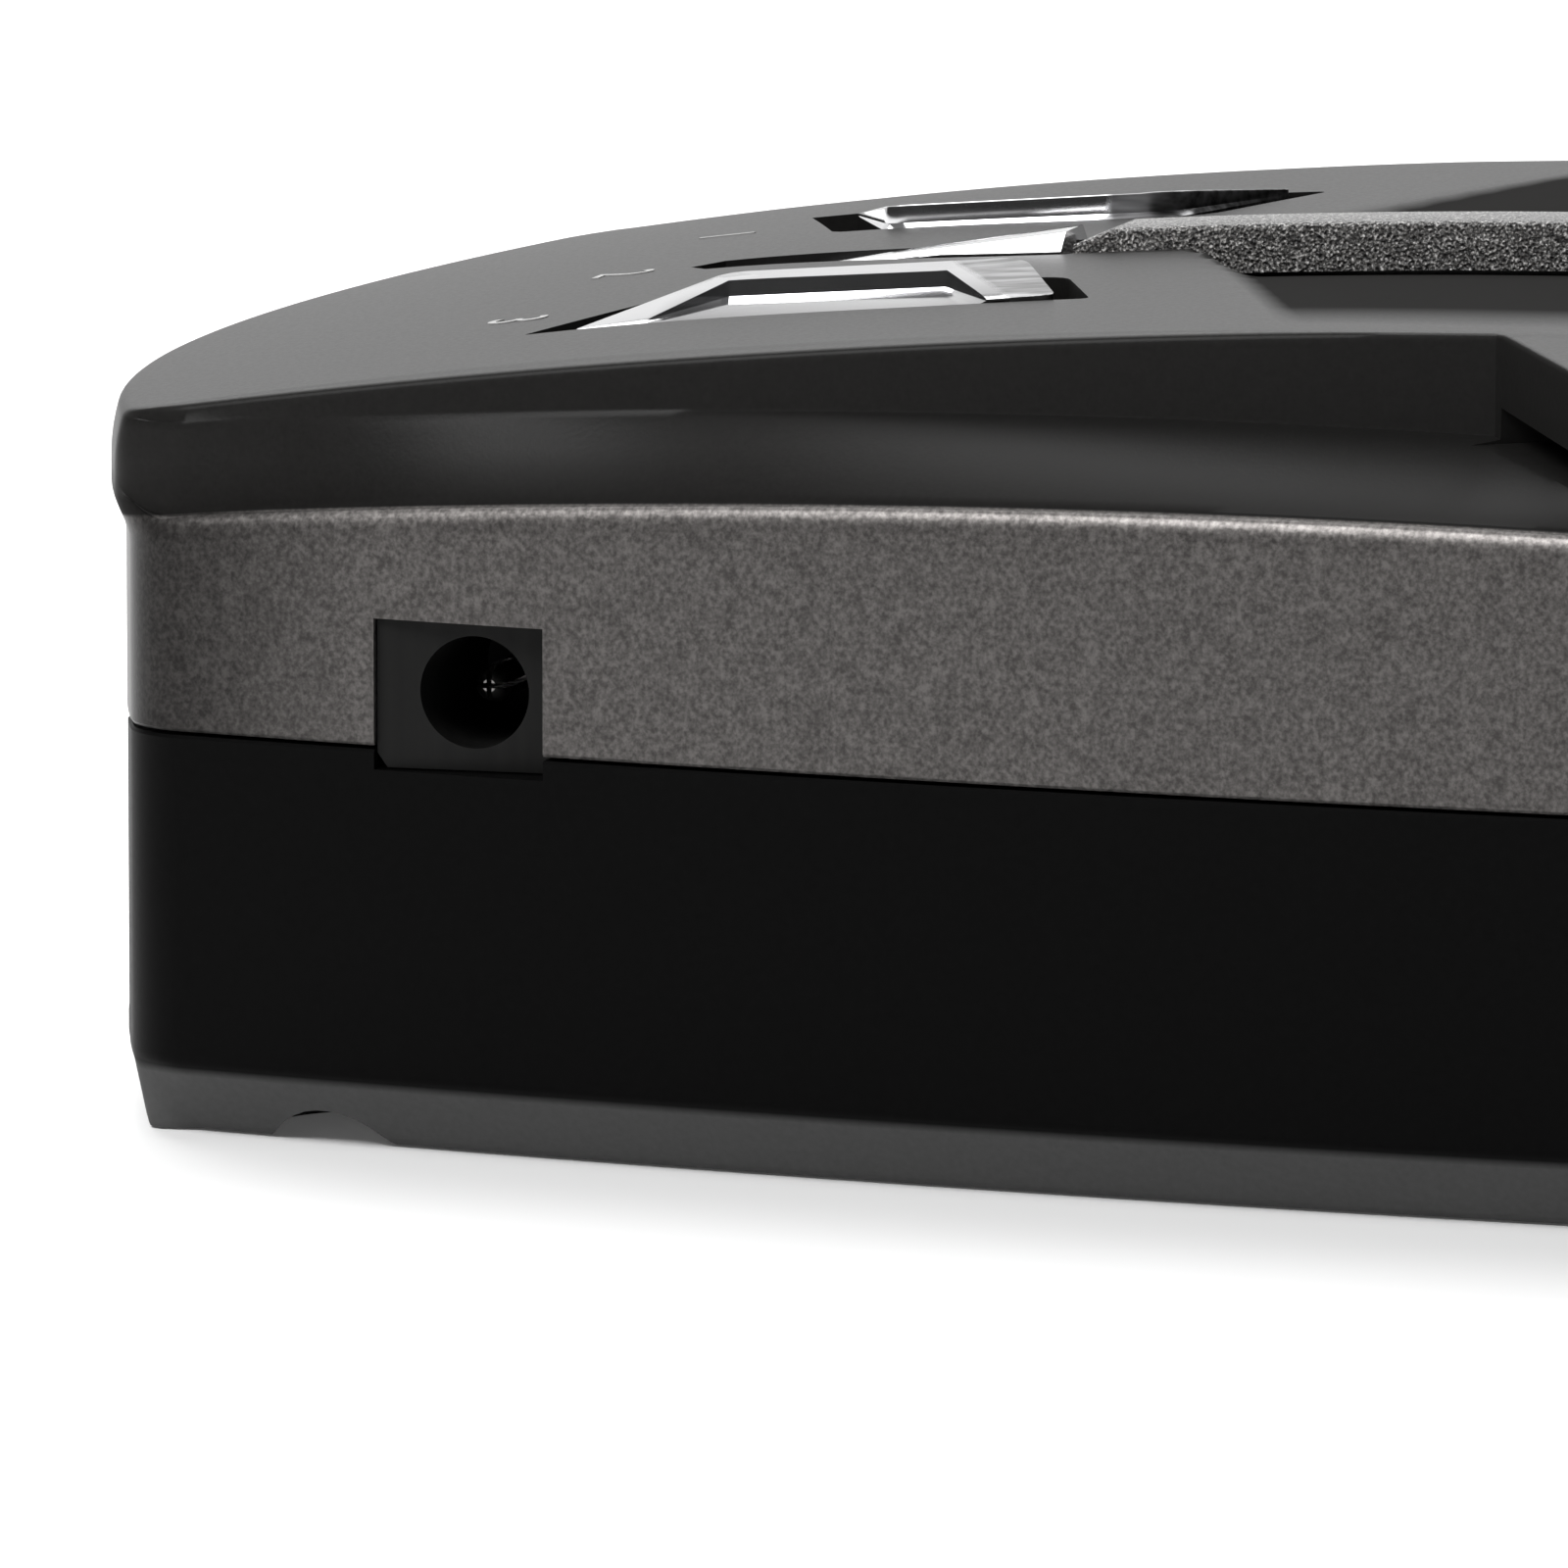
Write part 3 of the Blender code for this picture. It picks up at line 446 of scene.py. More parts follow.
def smoked_gloss(nodes):
    haze = nodes.noise(160.0)
    return {
        "Base Color": nodes.blend(haze, (0.012, 0.01, 0.01), (0.02, 0.016, 0.016)),
        "Roughness": 0.04 + haze * 0.05,
    }


def inlet_plastic(nodes):
    lines = nodes.noise(2600.0, 1.0, 0.5, (1.0, 1.0, 0.05))
    grain = nodes.noise(3000.0)
    return {
        "Base Color": nodes.blend(lines, (0.003, 0.003, 0.003), (0.0085, 0.0085, 0.008)),
        "Roughness": 0.5 + grain * 0.12,
        "Normal": nodes.bump(lines, 0.00002, 0.5),
    }


def plain_metal(light, dark, rough):
    def build(nodes):
        grain = nodes.noise(1400.0, 2.0, 0.5, (1.0, 0.15, 1.0))
        return {"Base Color": nodes.blend(grain, dark, light), "Roughness": rough + grain * 0.15}
    return build


def solder_mask(nodes):
    tracks = nodes.noise(260.0, 1.0, 0.4, (1.0, 0.25, 1.0))
    return {
        "Base Color": nodes.ramp(tracks, (0.45, (0.003, 0.006, 0.004)), (0.5, (0.008, 0.015, 0.011))),
        "Roughness": 0.35 + tracks * 0.2,
    }


def moulded(light, dark, rough):
    def build(nodes):
        grain = nodes.noise(2400.0)
        return {"Base Color": nodes.blend(grain, dark, light), "Roughness": rough + grain * 0.12}
    return build


GREY = paint("grey_metal_paint", grey_metal_paint, Specular_IOR_Level=0.1)
BLACK = paint("black_case_plastic", black_case_plastic, Specular_IOR_Level=0.03)
SPARK = paint("spark_texture", spark_texture, Specular_IOR_Level=0.8)
CHROME = paint("bright_chrome", bright_chrome, Metallic=1.0)
SMOKED = paint("smoked_gloss", smoked_gloss)
INLET = paint("inlet_plastic", inlet_plastic, Specular_IOR_Level=0.15)
STEEL = paint("steel", plain_metal((0.62, 0.61, 0.6), (0.42, 0.42, 0.43), 0.25), Metallic=1.0)
CAST = paint("cast_zinc", plain_metal((0.5, 0.5, 0.5), (0.36, 0.36, 0.37), 0.4), Metallic=1.0)
PIN = paint("dull_pin", plain_metal((0.3, 0.29, 0.28), (0.1, 0.1, 0.1), 0.2), Metallic=1.0)
BOARD = paint("solder_mask", solder_mask)
PRINT = paint("label_print", moulded((0.42, 0.42, 0.41), (0.3, 0.3, 0.3), 0.45))
MOULDED = paint("moulded_black", moulded((0.02, 0.02, 0.02), (0.008, 0.008, 0.008), 0.45))
PAPER = paint("pressed_paper", moulded((0.06, 0.06, 0.065), (0.03, 0.03, 0.03), 0.8))
RED = paint("display_face", moulded((0.1, 0.018, 0.018), (0.05, 0.01, 0.01), 0.25))
CLEAR = paint("lens_acrylic", moulded((0.7, 0.7, 0.74), (0.6, 0.6, 0.64), 0.05), Transmission_Weight=0.9)


# Curves that shape the case, in plan and in height

def half_width(y):
    return HALF_WIDTH - SIDE_BOW * (y - WIDEST_Y) ** 2


def rear_edge(x):
    return REAR_Y + x * x / (2.0 * REAR_RADIUS)


def front_edge(x):
    return FRONT_Y - x * x / (2.0 * FRONT_RADIUS)


def lip_height(y):
    return arched(LIP_ARCH, y)


def wing_flare(y):
    return min(max((y - WING_START) / (WING_END - WING_START), 0.0), 1.0)


def shelf_width(y):
    behind_wing = SHELF_START + SHELF_GROWTH * (min(y, WING_START) - SHELF_REAR_Y)
    return mix(behind_wing, WING_LEDGE, wing_flare(y))


def foot_height(y):
    return mix(arched(SHOULDER_ARCH, y), lip_height(y) + WING_FOOT, wing_flare(y))


def top_height(x, y):
    edge = half_width(y) - shelf_width(y)
    crown = CROWN - CROWN_LOSS * smooth(*CROWN_LOSS_Y, y)
    roll = ROLL_SLOPE * max(abs(x) - ROLL_X, 0.0)
    return arched(DECK_ARCH, y) + crown * (1.0 - min(abs(x) / edge, 1.0) ** 2) - roll


def dish_depth(x, y):
    """Depth of the hollow beside the spine, ahead of its slanting step."""
    share = min(max((abs(x) - DISH_START) / (DISH_HALF - DISH_START), 0.0), 1.0)
    start = mix(DISH_APEX_Y, DISH_ARM_Y, share)
    inside = smooth(0.0, DISH_STEP, y - start) * smooth(0.0, DISH_STEP, DISH_END_Y - y)
    cove = min(max(1.0 - (abs(x) - DISH_START) / DISH_COVE, 0.0), 1.0)
    return DISH_DEPTH * (0.3 * (1.0 - share) + 0.7 * cove ** 1.3) * inside


def deck_height(x, y):
    return top_height(x, y) - dish_depth(x, y)


def side_slope(y):
    return -2.0 * SIDE_BOW * (y - WIDEST_Y)


def side_normal(y):
    return Vector((1.0, -side_slope(y))).normalized()


def corner_arc(edge, inward, radius):
    """Middle of the arc that rounds a bowed end into the side, and the x where the bow stops."""
    low, high = 0.0, HALF_WIDTH
    for _ in range(50):
        x = (low + high) / 2.0
        slope = (edge(x + 0.01) - edge(x - 0.01)) / 0.02
        normal = Vector((-slope, 1.0)).normalized() * inward
        middle = Vector((x, edge(x))) + normal * radius
        if half_width(middle.y) - middle.x > radius * math.hypot(1.0, side_slope(middle.y)):
            low = x
        else:
            high = x
    return middle, x, -normal


def arc_points(middle, start, end, radius, count):
    first = math.atan2(start.y, start.x)
    last = math.atan2(end.y, end.x)
    made = []
    for step in range(count + 1):
        angle = mix(first, last, step / count)
        normal = Vector((math.cos(angle), math.sin(angle)))
        made.append((middle + normal * radius, normal))
    return made


def half_outline():
    """The +X half of the plan from the rear middle to the front middle, with outward normals."""
    rear_middle, rear_x, rear_normal = corner_arc(rear_edge, 1.0, REAR_CORNER)
    front_middle, front_x, front_normal = corner_arc(front_edge, -1.0, FRONT_CORNER)
    rear_side = side_normal(rear_middle.y)
    front_side = side_normal(front_middle.y)
    points = []
    for step in range(BOW_STEPS):
        x = rear_x * step / BOW_STEPS
        points.append((Vector((x, rear_edge(x))), Vector((x / REAR_RADIUS, -1.0)).normalized()))
    points += arc_points(rear_middle, rear_normal, rear_side, REAR_CORNER, CORNER_STEPS)
    y = points[-1][0].y + SIDE_STEP
    high = (front_middle + front_side * FRONT_CORNER).y
    while y < high - 0.4 * SIDE_STEP:
        points.append((Vector((half_width(y), y)), side_normal(y)))
        near_wing = WING_START - 1.0 < y < WING_END + 1.0
        y += WING_STEP if near_wing else SIDE_STEP
    points += arc_points(front_middle, front_side, front_normal, FRONT_CORNER, CORNER_STEPS)
    for step in reversed(range(BOW_STEPS)):
        x = front_x * step / BOW_STEPS
        points.append((Vector((x, front_edge(x))), Vector((x / FRONT_RADIUS, 1.0)).normalized()))
    return points


def full_outline(half):
    return half + [(Vector((-p.x, p.y)), Vector((-n.x, n.y))) for p, n in reversed(half[1:-1])]


OUTLINE = full_outline(half_outline())


# Mesh makers

def add_object(name, data):
    made = bpy.data.objects.new(name, data)
    bpy.context.scene.collection.objects.link(made)
    return made


def shade(mesh, sharp):
    mesh.shade_smooth()
    mesh.set_sharp_from_angle(angle=math.radians(sharp))


def loose_piece(name, bm, finish, sharp=SHARP):
    """Object in metres with outward faces and smooth shading, not yet in the frame."""
    bm.normal_update()
    bmesh.ops.recalc_face_normals(bm, faces=bm.faces)
    bmesh.ops.scale(bm, vec=Vector((MM, MM, MM)), verts=bm.verts)
    mesh = bpy.data.meshes.new(name)
    bm.to_mesh(mesh)
    bm.free()
    mesh.materials.append(finish)
    shade(mesh, sharp)
    return add_object(name, mesh)


def finish_piece(name, bm, finish, body, nodes=(), sharp=SHARP):
    """Object with its place in the frame: its body and the nodes it stands for."""
    made = loose_piece(name, bm, finish, sharp)
    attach(made, body)
    if nodes:
        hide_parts(*nodes)
    return made


def applied_mesh(target):
    """Plain mesh of an object with its modifiers applied."""
    bpy.context.view_layer.update()
    depsgraph = bpy.context.evaluated_depsgraph_get()
    return bpy.data.meshes.new_from_object(target.evaluated_get(depsgraph))


def cap_rows(bm, loop, height, lanes=DECK_LANES):
    """Close a symmetric ring with a grid of lanes whose height is height(x, y)."""
    count = len(loop)
    half = count // 2
    rows = [[loop[0]]]
    for j in range(1, half):
        right, left = loop[j], loop[count - j]
        row = [right]
        for lane in range(1, lanes):
            x = mix(right.co.x, left.co.x, lane / lanes)
            y = mix(right.co.y, left.co.y, lane / lanes)
            row.append(bm.verts.new((x, y, height(x, y))))
        rows.append(row + [left])
    rows.append([loop[half]])
    for near, far in zip(rows, rows[1:]):
        if len(near) == 1:
            for a, b in zip(far, far[1:]):
                bm.faces.new((near[0], a, b))
        elif len(far) == 1:
            for a, b in zip(near, near[1:]):
                bm.faces.new((a, far[0], b))
        else:
            for k in range(lanes):
                bm.faces.new((near[k], far[k], far[k + 1], near[k + 1]))


def skin(bm, loops):
    """Faces from each ring of corners to the next."""
    count = len(loops[0])
    for below, above in zip(loops, loops[1:]):
        for i in range(count):
            j = (i + 1) % count
            bm.faces.new((below[i], below[j], above[j], above[i]))


def loft(rings, bottom=None, top=None):
    """Closed mesh through rings of equal count; bottom and top are height functions, or flat."""
    bm = bmesh.new()
    loops = [[bm.verts.new(point) for point in ring] for ring in rings]
    skin(bm, loops)
    for loop, height in ((loops[0], bottom), (loops[-1], top)):
        if height is None:
            bm.faces.new(loop)
        else:
            cap_rows(bm, loop, height)
    return bm


def prism(points, low, high):
    return loft([[(x, y, low) for x, y in points], [(x, y, high) for x, y in points]])


def hull(points):
    bm = bmesh.new()
    for point in points:
        bm.verts.new(point)
    bmesh.ops.convex_hull(bm, input=bm.verts)
    return bm


def box(low, high):
    corners = [(x, y, z) for x in (low[0], high[0]) for y in (low[1], high[1]) for z in (low[2], high[2])]
    return hull(corners)


def ring_points(middle, radius, along, axis, sides):
    made = []
    for step in range(sides):
        angle = 2.0 * math.pi * step / sides
        a, b = radius * math.cos(angle) + middle[0], radius * math.sin(angle) + middle[1]
        made.append((along, a, b) if axis == "X" else (a, b, along))
    return made


def turned(middle, profile, axis="Z", sides=48):
    """Rings of (radius, height) about the X or Z axis, closed at both ends."""
    return loft([ring_points(middle, radius, along, axis, sides) for radius, along in profile])


def carve(target, tools, sharp=SHARP):
    """Cut a list of tool meshes out of a piece; the result is its plain mesh, in its own material."""
    old = target.data
    finish = old.materials[0]
    store = bpy.data.collections.new("tools")
    bpy.context.scene.collection.children.link(store)
    for number, bm in enumerate(tools):
        tool = loose_piece(f"tool_{number}", bm, finish)
        bpy.context.scene.collection.objects.unlink(tool)
        store.objects.link(tool)
    step = target.modifiers.new("carve", "BOOLEAN")
    step.operand_type = "COLLECTION"
    step.collection = store
    step.solver = "EXACT"
    mesh = applied_mesh(target)
    target.modifiers.remove(step)
    target.data = mesh
    bpy.data.meshes.remove(old)
    for tool in list(store.objects):
        bpy.data.objects.remove(tool)
    bpy.data.collections.remove(store)
    mesh.materials.clear()
    mesh.materials.append(finish)
    shade(mesh, sharp)
    return target


# Plan shapes of the buttons and their openings

def curve_points(start, control, end, steps):
    """Points on a curve that leaves start and reaches end along lines to control; end is left out."""
    made = []
    for step in range(steps):
        t = step / steps
        a = mix(start[0], control[0], t), mix(start[1], control[1], t)
        b = mix(control[0], end[0], t), mix(control[1], end[1], t)
        made.append((mix(a[0], b[0], t), mix(a[1], b[1], t)))
    return made


def plate(grow=0.0, rear_grow=0.0, front_grow=0.0, inner_grow=0.0):
    """Outline of the +X button: a long side outside, a short side by the spine and slanting ends."""
    corners = []
    for number, (x, y) in enumerate(PLATE):
        rear = number in (0, 3)
        inner = number > 1
        slide = -grow - rear_grow if rear else grow + front_grow
        reach = x - grow - inner_grow if inner else x + grow * OPENING_OUTER
        corners.append(Vector((reach, y + slide)))
    points = []
    for number, corner in enumerate(corners):
        before, after = corners[number - 1], corners[(number + 1) % len(corners)]
        near = corner + (before - corner).normalized() * PLATE_ROUND[number]
        far = corner + (after - corner).normalized() * PLATE_ROUND[number]
        points += curve_points(near, corner, far, PLATE_ROUND_STEPS) + [tuple(far)]
    return points


def spear_edge():
    """The +X edge of the middle button, from just ahead of its tip to its front end."""
    tip, end = (0.0, SPEAR_TIP_Y), (SPEAR_HALF, SPEAR_FRONT_Y)
    control = SPEAR_HALF * 0.75, mix(SPEAR_TIP_Y, SPEAR_FRONT_Y, 0.5)
    return curve_points(tip, control, end, SPEAR_STEPS)[1:] + [end]


def spear_slot():
    """Opening round the middle button: blunt behind its sunken tip, square at the spine."""
    half, rear = SPEAR_HALF + BUTTON_GAP, SPEAR_TIP_Y - BUTTON_GAP
    right = [(0.0, rear - 0.9), (1.3, rear), (half, SPEAR_FRONT_Y + 0.3)]
    return right + mirrored(right[1:])


def mirrored(points):
    return [(-x, y) for x, y in reversed(points)]


# Upper shell

LIP_DEPTH = 0.4
LIP_RISE = 0.9
EDGE_EASE = 0.1
GROOVE = ((0.44, -0.02), (0.5, -0.16), (0.62, -0.16), (0.68, 0.04))
GROOVE_END = 0.72
SHOULDER_BULGE = 1.08
SHOULDER_STEPS = 12
LIP_STEPS = 8
END_BLEND = (0.35, 0.95)
FRONT_INSET = 3.4
FRONT_DROP = 6.2
INNER_GROWTH = 0.2
INNER_WIDEST = 8.8
INNER_MARGIN = 2.4
INNER_END_Z = 18.2
INNER_DROP = 2.2


def side_levels(y):
    """Inset and height up the flank, from the seam to the top of the shoulder, and the shoulder's width."""
    lip, foot, shelf = lip_height(y), foot_height(y), shelf_width(y)
    seam = PART_Z + SEAM
    levels = [(0.08, seam), (0.0, seam + EDGE_EASE), (0.0, 16.0), (0.0, 18.5), (0.0, lip - LIP_RISE)]
    for step in range(1, LIP_STEPS + 1):
        angle = math.radians(90.0 * step / LIP_STEPS)
        levels.append((LIP_DEPTH * (1.0 - math.cos(angle)), lip - LIP_RISE * (1.0 - math.sin(angle))))
    narrow = min(1.0, shelf)
    levels += [(inset * narrow, lip + drop) for inset, drop in GROOVE]
    start = GROOVE_END * narrow
    for step in range(SHOULDER_STEPS + 1):
        share = step / SHOULDER_STEPS
        rise = 1.0 - (1.0 - share) ** SHOULDER_BULGE
        levels.append((mix(start, shelf, share), mix(lip + 0.1, foot, rise)))
    return levels, shelf


EDGE_INSETS = (0.03, 0.08, 0.13, 0.17, 0.26, 0.4)
EDGE_DROPS = (None, 0.5, 0.2, 0.09, 0.025, 0.0)


def rear_levels():
    """Inset and drop from the deck for the brow, level by level with the flank; None keeps its height."""
    levels = [(0.08, None), (0.0, None), (0.0, None), (0.0, None), (0.0, 4.6)]
    for step in range(1, LIP_STEPS + 1):
        share = step / LIP_STEPS
        levels.append((-BROW * smooth(0.0, 1.0, share), mix(4.5, 2.7, share)))
    levels += [(-BROW, 2.5), (-BROW, 2.35), (-BROW, 2.2), (-BROW, 2.05)]
    for step in range(SHOULDER_STEPS + 1):
        share = step / SHOULDER_STEPS
        levels.append((-BROW + 0.22 * share * share, mix(1.9, 0.34, share)))
    levels += [(-0.25, 0.25), (-0.2, 0.17), (-0.12, 0.1), (-0.02, 0.045), (0.12, 0.01), (0.3, 0.0)]
    return levels


def front_levels():
    """Inset and drop from the deck round the front end."""
    levels = [(0.08, None), (0.0, None), (0.0, None), (0.0, None), (0.0, FRONT_DROP)]
    rest = LIP_STEPS + len(GROOVE) + SHOULDER_STEPS + 1 + len(EDGE_INSETS)
    for step in range(1, rest + 1):
        angle = math.radians(90.0 * step / rest)
        levels.append((FRONT_INSET * (1.0 - math.cos(angle)), FRONT_DROP * (1.0 - math.sin(angle))))
    return levels


REAR = rear_levels()
FRONT = front_levels()


def upper_outside(outline):
    """Rings of the outer wall, from the parting plane up to the edge of the deck."""
    rings = [[] for _ in REAR]
    for point, normal in outline:
        side = smooth(*END_BLEND, abs(normal.x))
        end = REAR if point.y < 0.0 else FRONT
        flank, shelf = side_levels(point.y)
        for level, ring in enumerate(rings):
            on_flank = level < len(flank)
            flank_inset = flank[level][0] if on_flank else shelf + EDGE_INSETS[level - len(flank)]
            inset = mix(end[level][0], flank_inset, side)
            x, y = point.x - normal.x * inset, point.y - normal.y * inset
            deck = deck_height(x, y)
            if on_flank:
                flank_height = flank[level][1]
            else:
                drop = EDGE_DROPS[level - len(flank)]
                flank_height = flank[-1][1] + 0.12 if drop is None else deck - drop
            end_drop = end[level][1]
            end_height = flank_height if end_drop is None else deck - end_drop
            ring.append((x, y, mix(end_height, flank_height, side)))
    return rings


def upper_inside(outline):
    """Rings of the inner wall, from the roof down to the parting plane."""
    rings = [[], [], [], []]
    for point, normal in outline:
        side = smooth(*END_BLEND, abs(normal.x))
        width = min(SHELF_START + INNER_GROWTH * (point.y - SHELF_REAR_Y), INNER_WIDEST)
        shoulder = mix(FRONT_INSET, width + INNER_MARGIN, side)
        low = mix(INNER_END_Z, lip_height(point.y) - INNER_DROP, side)
        for level, inset in enumerate((shoulder + 0.6, shoulder, WALL, WALL)):
            x, y = point.x - normal.x * inset, point.y - normal.y * inset
            roof = top_height(x, y) - ROOF
            height = (roof, min(low + 1.6, roof - 0.4), low, PART_Z + SEAM)[level]
            rings[level].append((x, y, height))
    return rings


def scoop(side):
    """Pocket under the wing: a slanting slot whose mouth follows the wing's edge."""
    start, end = Vector((SCOOP_X[0], WING_START + 0.35)), Vector((SCOOP_X[1], WING_END - 0.9))
    along = (end - start).normalized()
    inward = Vector((-along.y, along.x))
    points = []
    for place, (low, high) in zip((start, end), SCOOP_Z):
        for depth in SCOOP_DEPTHS:
            spot = place + inward * depth
            points.append((side * spot.x, spot.y, low))
            points.append((side * spot.x, spot.y, high))
    return hull(points)


def spine_stations():
    first, last = SPINE_NOSE_Y + 3.0, SPINE_END_Y - 2.0
    return [SPINE_NOSE_Y + 1.4] + [mix(first, last, i / SPINE_STEPS) for i in range(SPINE_STEPS + 1)]


def spine_mesh(grow=0.0, lift=0.0):
    """Rib with a bevelled nose and eased top edges; grow and lift make the groove that it lies in."""
    half = SPINE_HALF + grow
    nose, tail = SPINE_NOSE_Y - grow, SPINE_END_Y + grow
    rings = []
    for y in [nose] + spine_stations() + [tail]:
        roof = top_height(0.0, y)
        high = roof + SPINE_PROUD * (SPINE_END_SHARE if y in (nose, tail) else 1.0) + lift
        low = roof - SPINE_DEEP - (0.3 if grow else 0.0)
        foot = half + SPINE_DRAFT
        section = [(-foot, low), (foot, low), (half + 0.05, high - 0.16)]
        section += [(half - 0.03, high - 0.05), (half - 0.15, high)]
        section += [(-x, z) for x, z in reversed(section[2:])]
        rings.append([(x, y, z) for x, z in section])
    return loft(rings)


def jack_slot(low, high):
    """Tool for the inlet's opening in the side wall."""
    near, far = JACK_Y[0] - JACK_GAP, JACK_Y[1] + JACK_GAP
    return box((JACK_FACE_X - JACK_SLOT_DEPTH, near, low), (OUTSIDE_X, far, high))


def make_upper_shell():
    rings = upper_inside(OUTLINE) + upper_outside(OUTLINE)
    bm = loft(rings, lambda x, y: top_height(x, y) - ROOF, deck_height)
    shell = finish_piece("upper_shell", bm, GREY, "case", ["upper_case"])
    tools = [spine_mesh(SPINE_GAP, 3.0), prism(spear_slot(), *OPENING_Z)]
    for side in (1.0, -1.0):
        points = plate(BUTTON_GAP, OPENING_REAR, OPENING_FRONT, PLATE_FLANGE)
        tools.append(prism(points if side > 0 else mirrored(points), *OPENING_Z))
        tools.append(scoop(side))
    tools.append(jack_slot(BELOW_SEAM, JACK_Z[1] + JACK_GAP))
    near, far = WHEEL_Y - WHEEL_SLOT_HALF, WHEEL_Y + WHEEL_SLOT_HALF
    tools.append(box((-OUTSIDE_X, near, BELOW_SEAM), (WHEEL_X, far, WHEEL_Z[1] + WHEEL_SLOT_GAP)))
    carve(shell, tools)


# Lower shell

def inset_ring(outline, inset, height):
    return [(p.x - n.x * inset, p.y - n.y * inset, height) for p, n in outline]


def bowed_plate(edge, half, thick, inset, low, high, inward):
    """Plate that follows a bowed end of the case; inward is +1 at the rear and -1 at the front."""
    outer, inner = [], []
    for step in range(WINDOW_STEPS + 1):
        x = mix(-half, half, step / WINDOW_STEPS)
        outer.append((x, edge(x) + inward * inset))
        inner.append((x, edge(x) + inward * (inset + thick)))
    return prism(outer + inner[::-1], low, high)


def make_lower_shell():
    seam = PART_Z - SEAM
    levels = [(WALL + 0.5, FLOOR_TOP), (WALL + 0.05, FLOOR_TOP + 2.5), (WALL, seam), (EDGE_EASE, seam)]
    levels += [(0.0, seam - EDGE_EASE), (0.0, 9.0), (0.0, FOOT_HEIGHT + 0.3), (0.03, FOOT_HEIGHT + 0.12)]
    rings = [inset_ring(OUTLINE, inset, height) for inset, height in levels]
    foot = [(0.06, FOOT_HEIGHT - 0.02), (0.2, FOOT_HEIGHT - 0.3)]
    foot += [(0.86, 0.3), (0.94, 0.12), (1.0, 0.03), (1.1, 0.0)]
    for share, height in foot:
        ring = []
        for point, normal in OUTLINE:
            inset = share * mix(FOOT_END_INSET, FOOT_INSET, smooth(*FOOT_BLEND, abs(normal.x)))
            ring.append((point.x - normal.x * inset, point.y - normal.y * inset, height))
        rings.append(ring)
    bm = loft(rings)
    shell = finish_piece("lower_shell", bm, BLACK, "case", ["lower_case"])
    deep, out = 5.0, -2.0
    half, low = WINDOW_HALF + WINDOW_GAP, WINDOW_Z[0] - WINDOW_GAP
    tools = [bowed_plate(rear_edge, half, deep, out, low, ABOVE_SEAM, 1.0)]
    half, (low, high) = FRONT_WINDOW_HALF + WINDOW_GAP, FRONT_WINDOW_Z
    tools.append(bowed_plate(front_edge, half, deep, out, low - WINDOW_GAP, high + WINDOW_GAP, -1.0))
    tools += [turned(place, ((WELL_R, -1.0), (WELL_R, WELL_DEPTH))) for place in SCREWS]
    for number in range(GRILLE_SLOTS):
        x = (number - (GRILLE_SLOTS - 1) / 2.0) * GRILLE_PITCH
        reach = math.sqrt(SPEAKER_R ** 2 - x * x) - GRILLE_MARGIN
        near, far = SPEAKER_Y - reach, SPEAKER_Y + reach
        tools.append(box((x - GRILLE_HALF, near, -1.0), (x + GRILLE_HALF, far, 4.0)))
    tools.append(jack_slot(JACK_Z[0] - JACK_GAP, ABOVE_SEAM))
    carve(shell, tools)


# Chrome buttons

TROUGH = ((19.6, -34.5), (19.6, -20.4), (11.75, -24.75), (11.8, -32.6))
TROUGH_MIDDLE = (16.0, -27.5)
TROUGH_FLOOR = -0.06
TROUGH_COVE = 0.11
PLATE_MIDDLE = (14.5, -27.8)
PLATE_RISE = 0.74
PADDLE_RISE = 0.1
PADDLE_RAMP_Y = (-25.0, -23.0)
BLADE_SINK = 0.08
SPEAR_CREST = (-0.55, 0.68)


def plate_rise(x, y):
    """Height of a button above the deck: flush on its outer side, proud beside the spine."""
    inward = (PLATE[0][0] - abs(x)) / (PLATE[0][0] - PLATE[2][0])
    return PLATE_RISE * inward + PADDLE_RISE * smooth(*PADDLE_RAMP_Y, y) * inward


def blade(side):
    """Skirt, flange by the spine, eased edge and leaning top of an outer button."""
    levels = [(PLATE_FLANGE, 0.0, None), (PLATE_FLANGE, 0.0, 0.0), (0.0, 0.0, 0.22)]
    levels += [(0.0, 0.0, 0.9), (0.0, 0.004, 0.97), (0.0, 0.013, 1.0)]
    levels += [(0.0, share, 1.0) for share in (0.25, 0.5, 0.75)]
    rings = []
    for flange, share, lift in levels:
        points = plate(inner_grow=flange)
        ring = []
        for x, y in points if side > 0.0 else mirrored(points):
            px, py = mix(x, side * PLATE_MIDDLE[0], share), mix(y, PLATE_MIDDLE[1], share)
            deck = top_height(px, py) - BLADE_SINK
            top = deck + BLADE_SINK + plate_rise(px, py)
            ring.append((px, py, BUTTON_FOOT_Z if lift is None else mix(deck, top, lift)))
        rings.append(ring)
    return loft(rings)


def spear_blade():
    """Middle button: a flat-topped bar that climbs from its sunken tip to its square front end."""
    rings = []
    for half, y in spear_edge():
        crest = mix(*SPEAR_CREST, (y - SPEAR_TIP_Y) / (SPEAR_FRONT_Y - SPEAR_TIP_Y))
        edge = min(0.06, crest - 0.2)
        top = top_height(0.0, y)
        section = [(half, BUTTON_FOOT_Z), (half, top + edge), (half * 0.96, top + edge + 0.05)]
        ridge = top + crest
        section += [(half * 0.64, ridge - 0.04), (half * 0.6, ridge - 0.01), (half * 0.3, ridge)]
        section += [(-x, z) for x, z in reversed(section)]
        rings.append([(x, y, z) for x, z in section])
    return loft(rings)


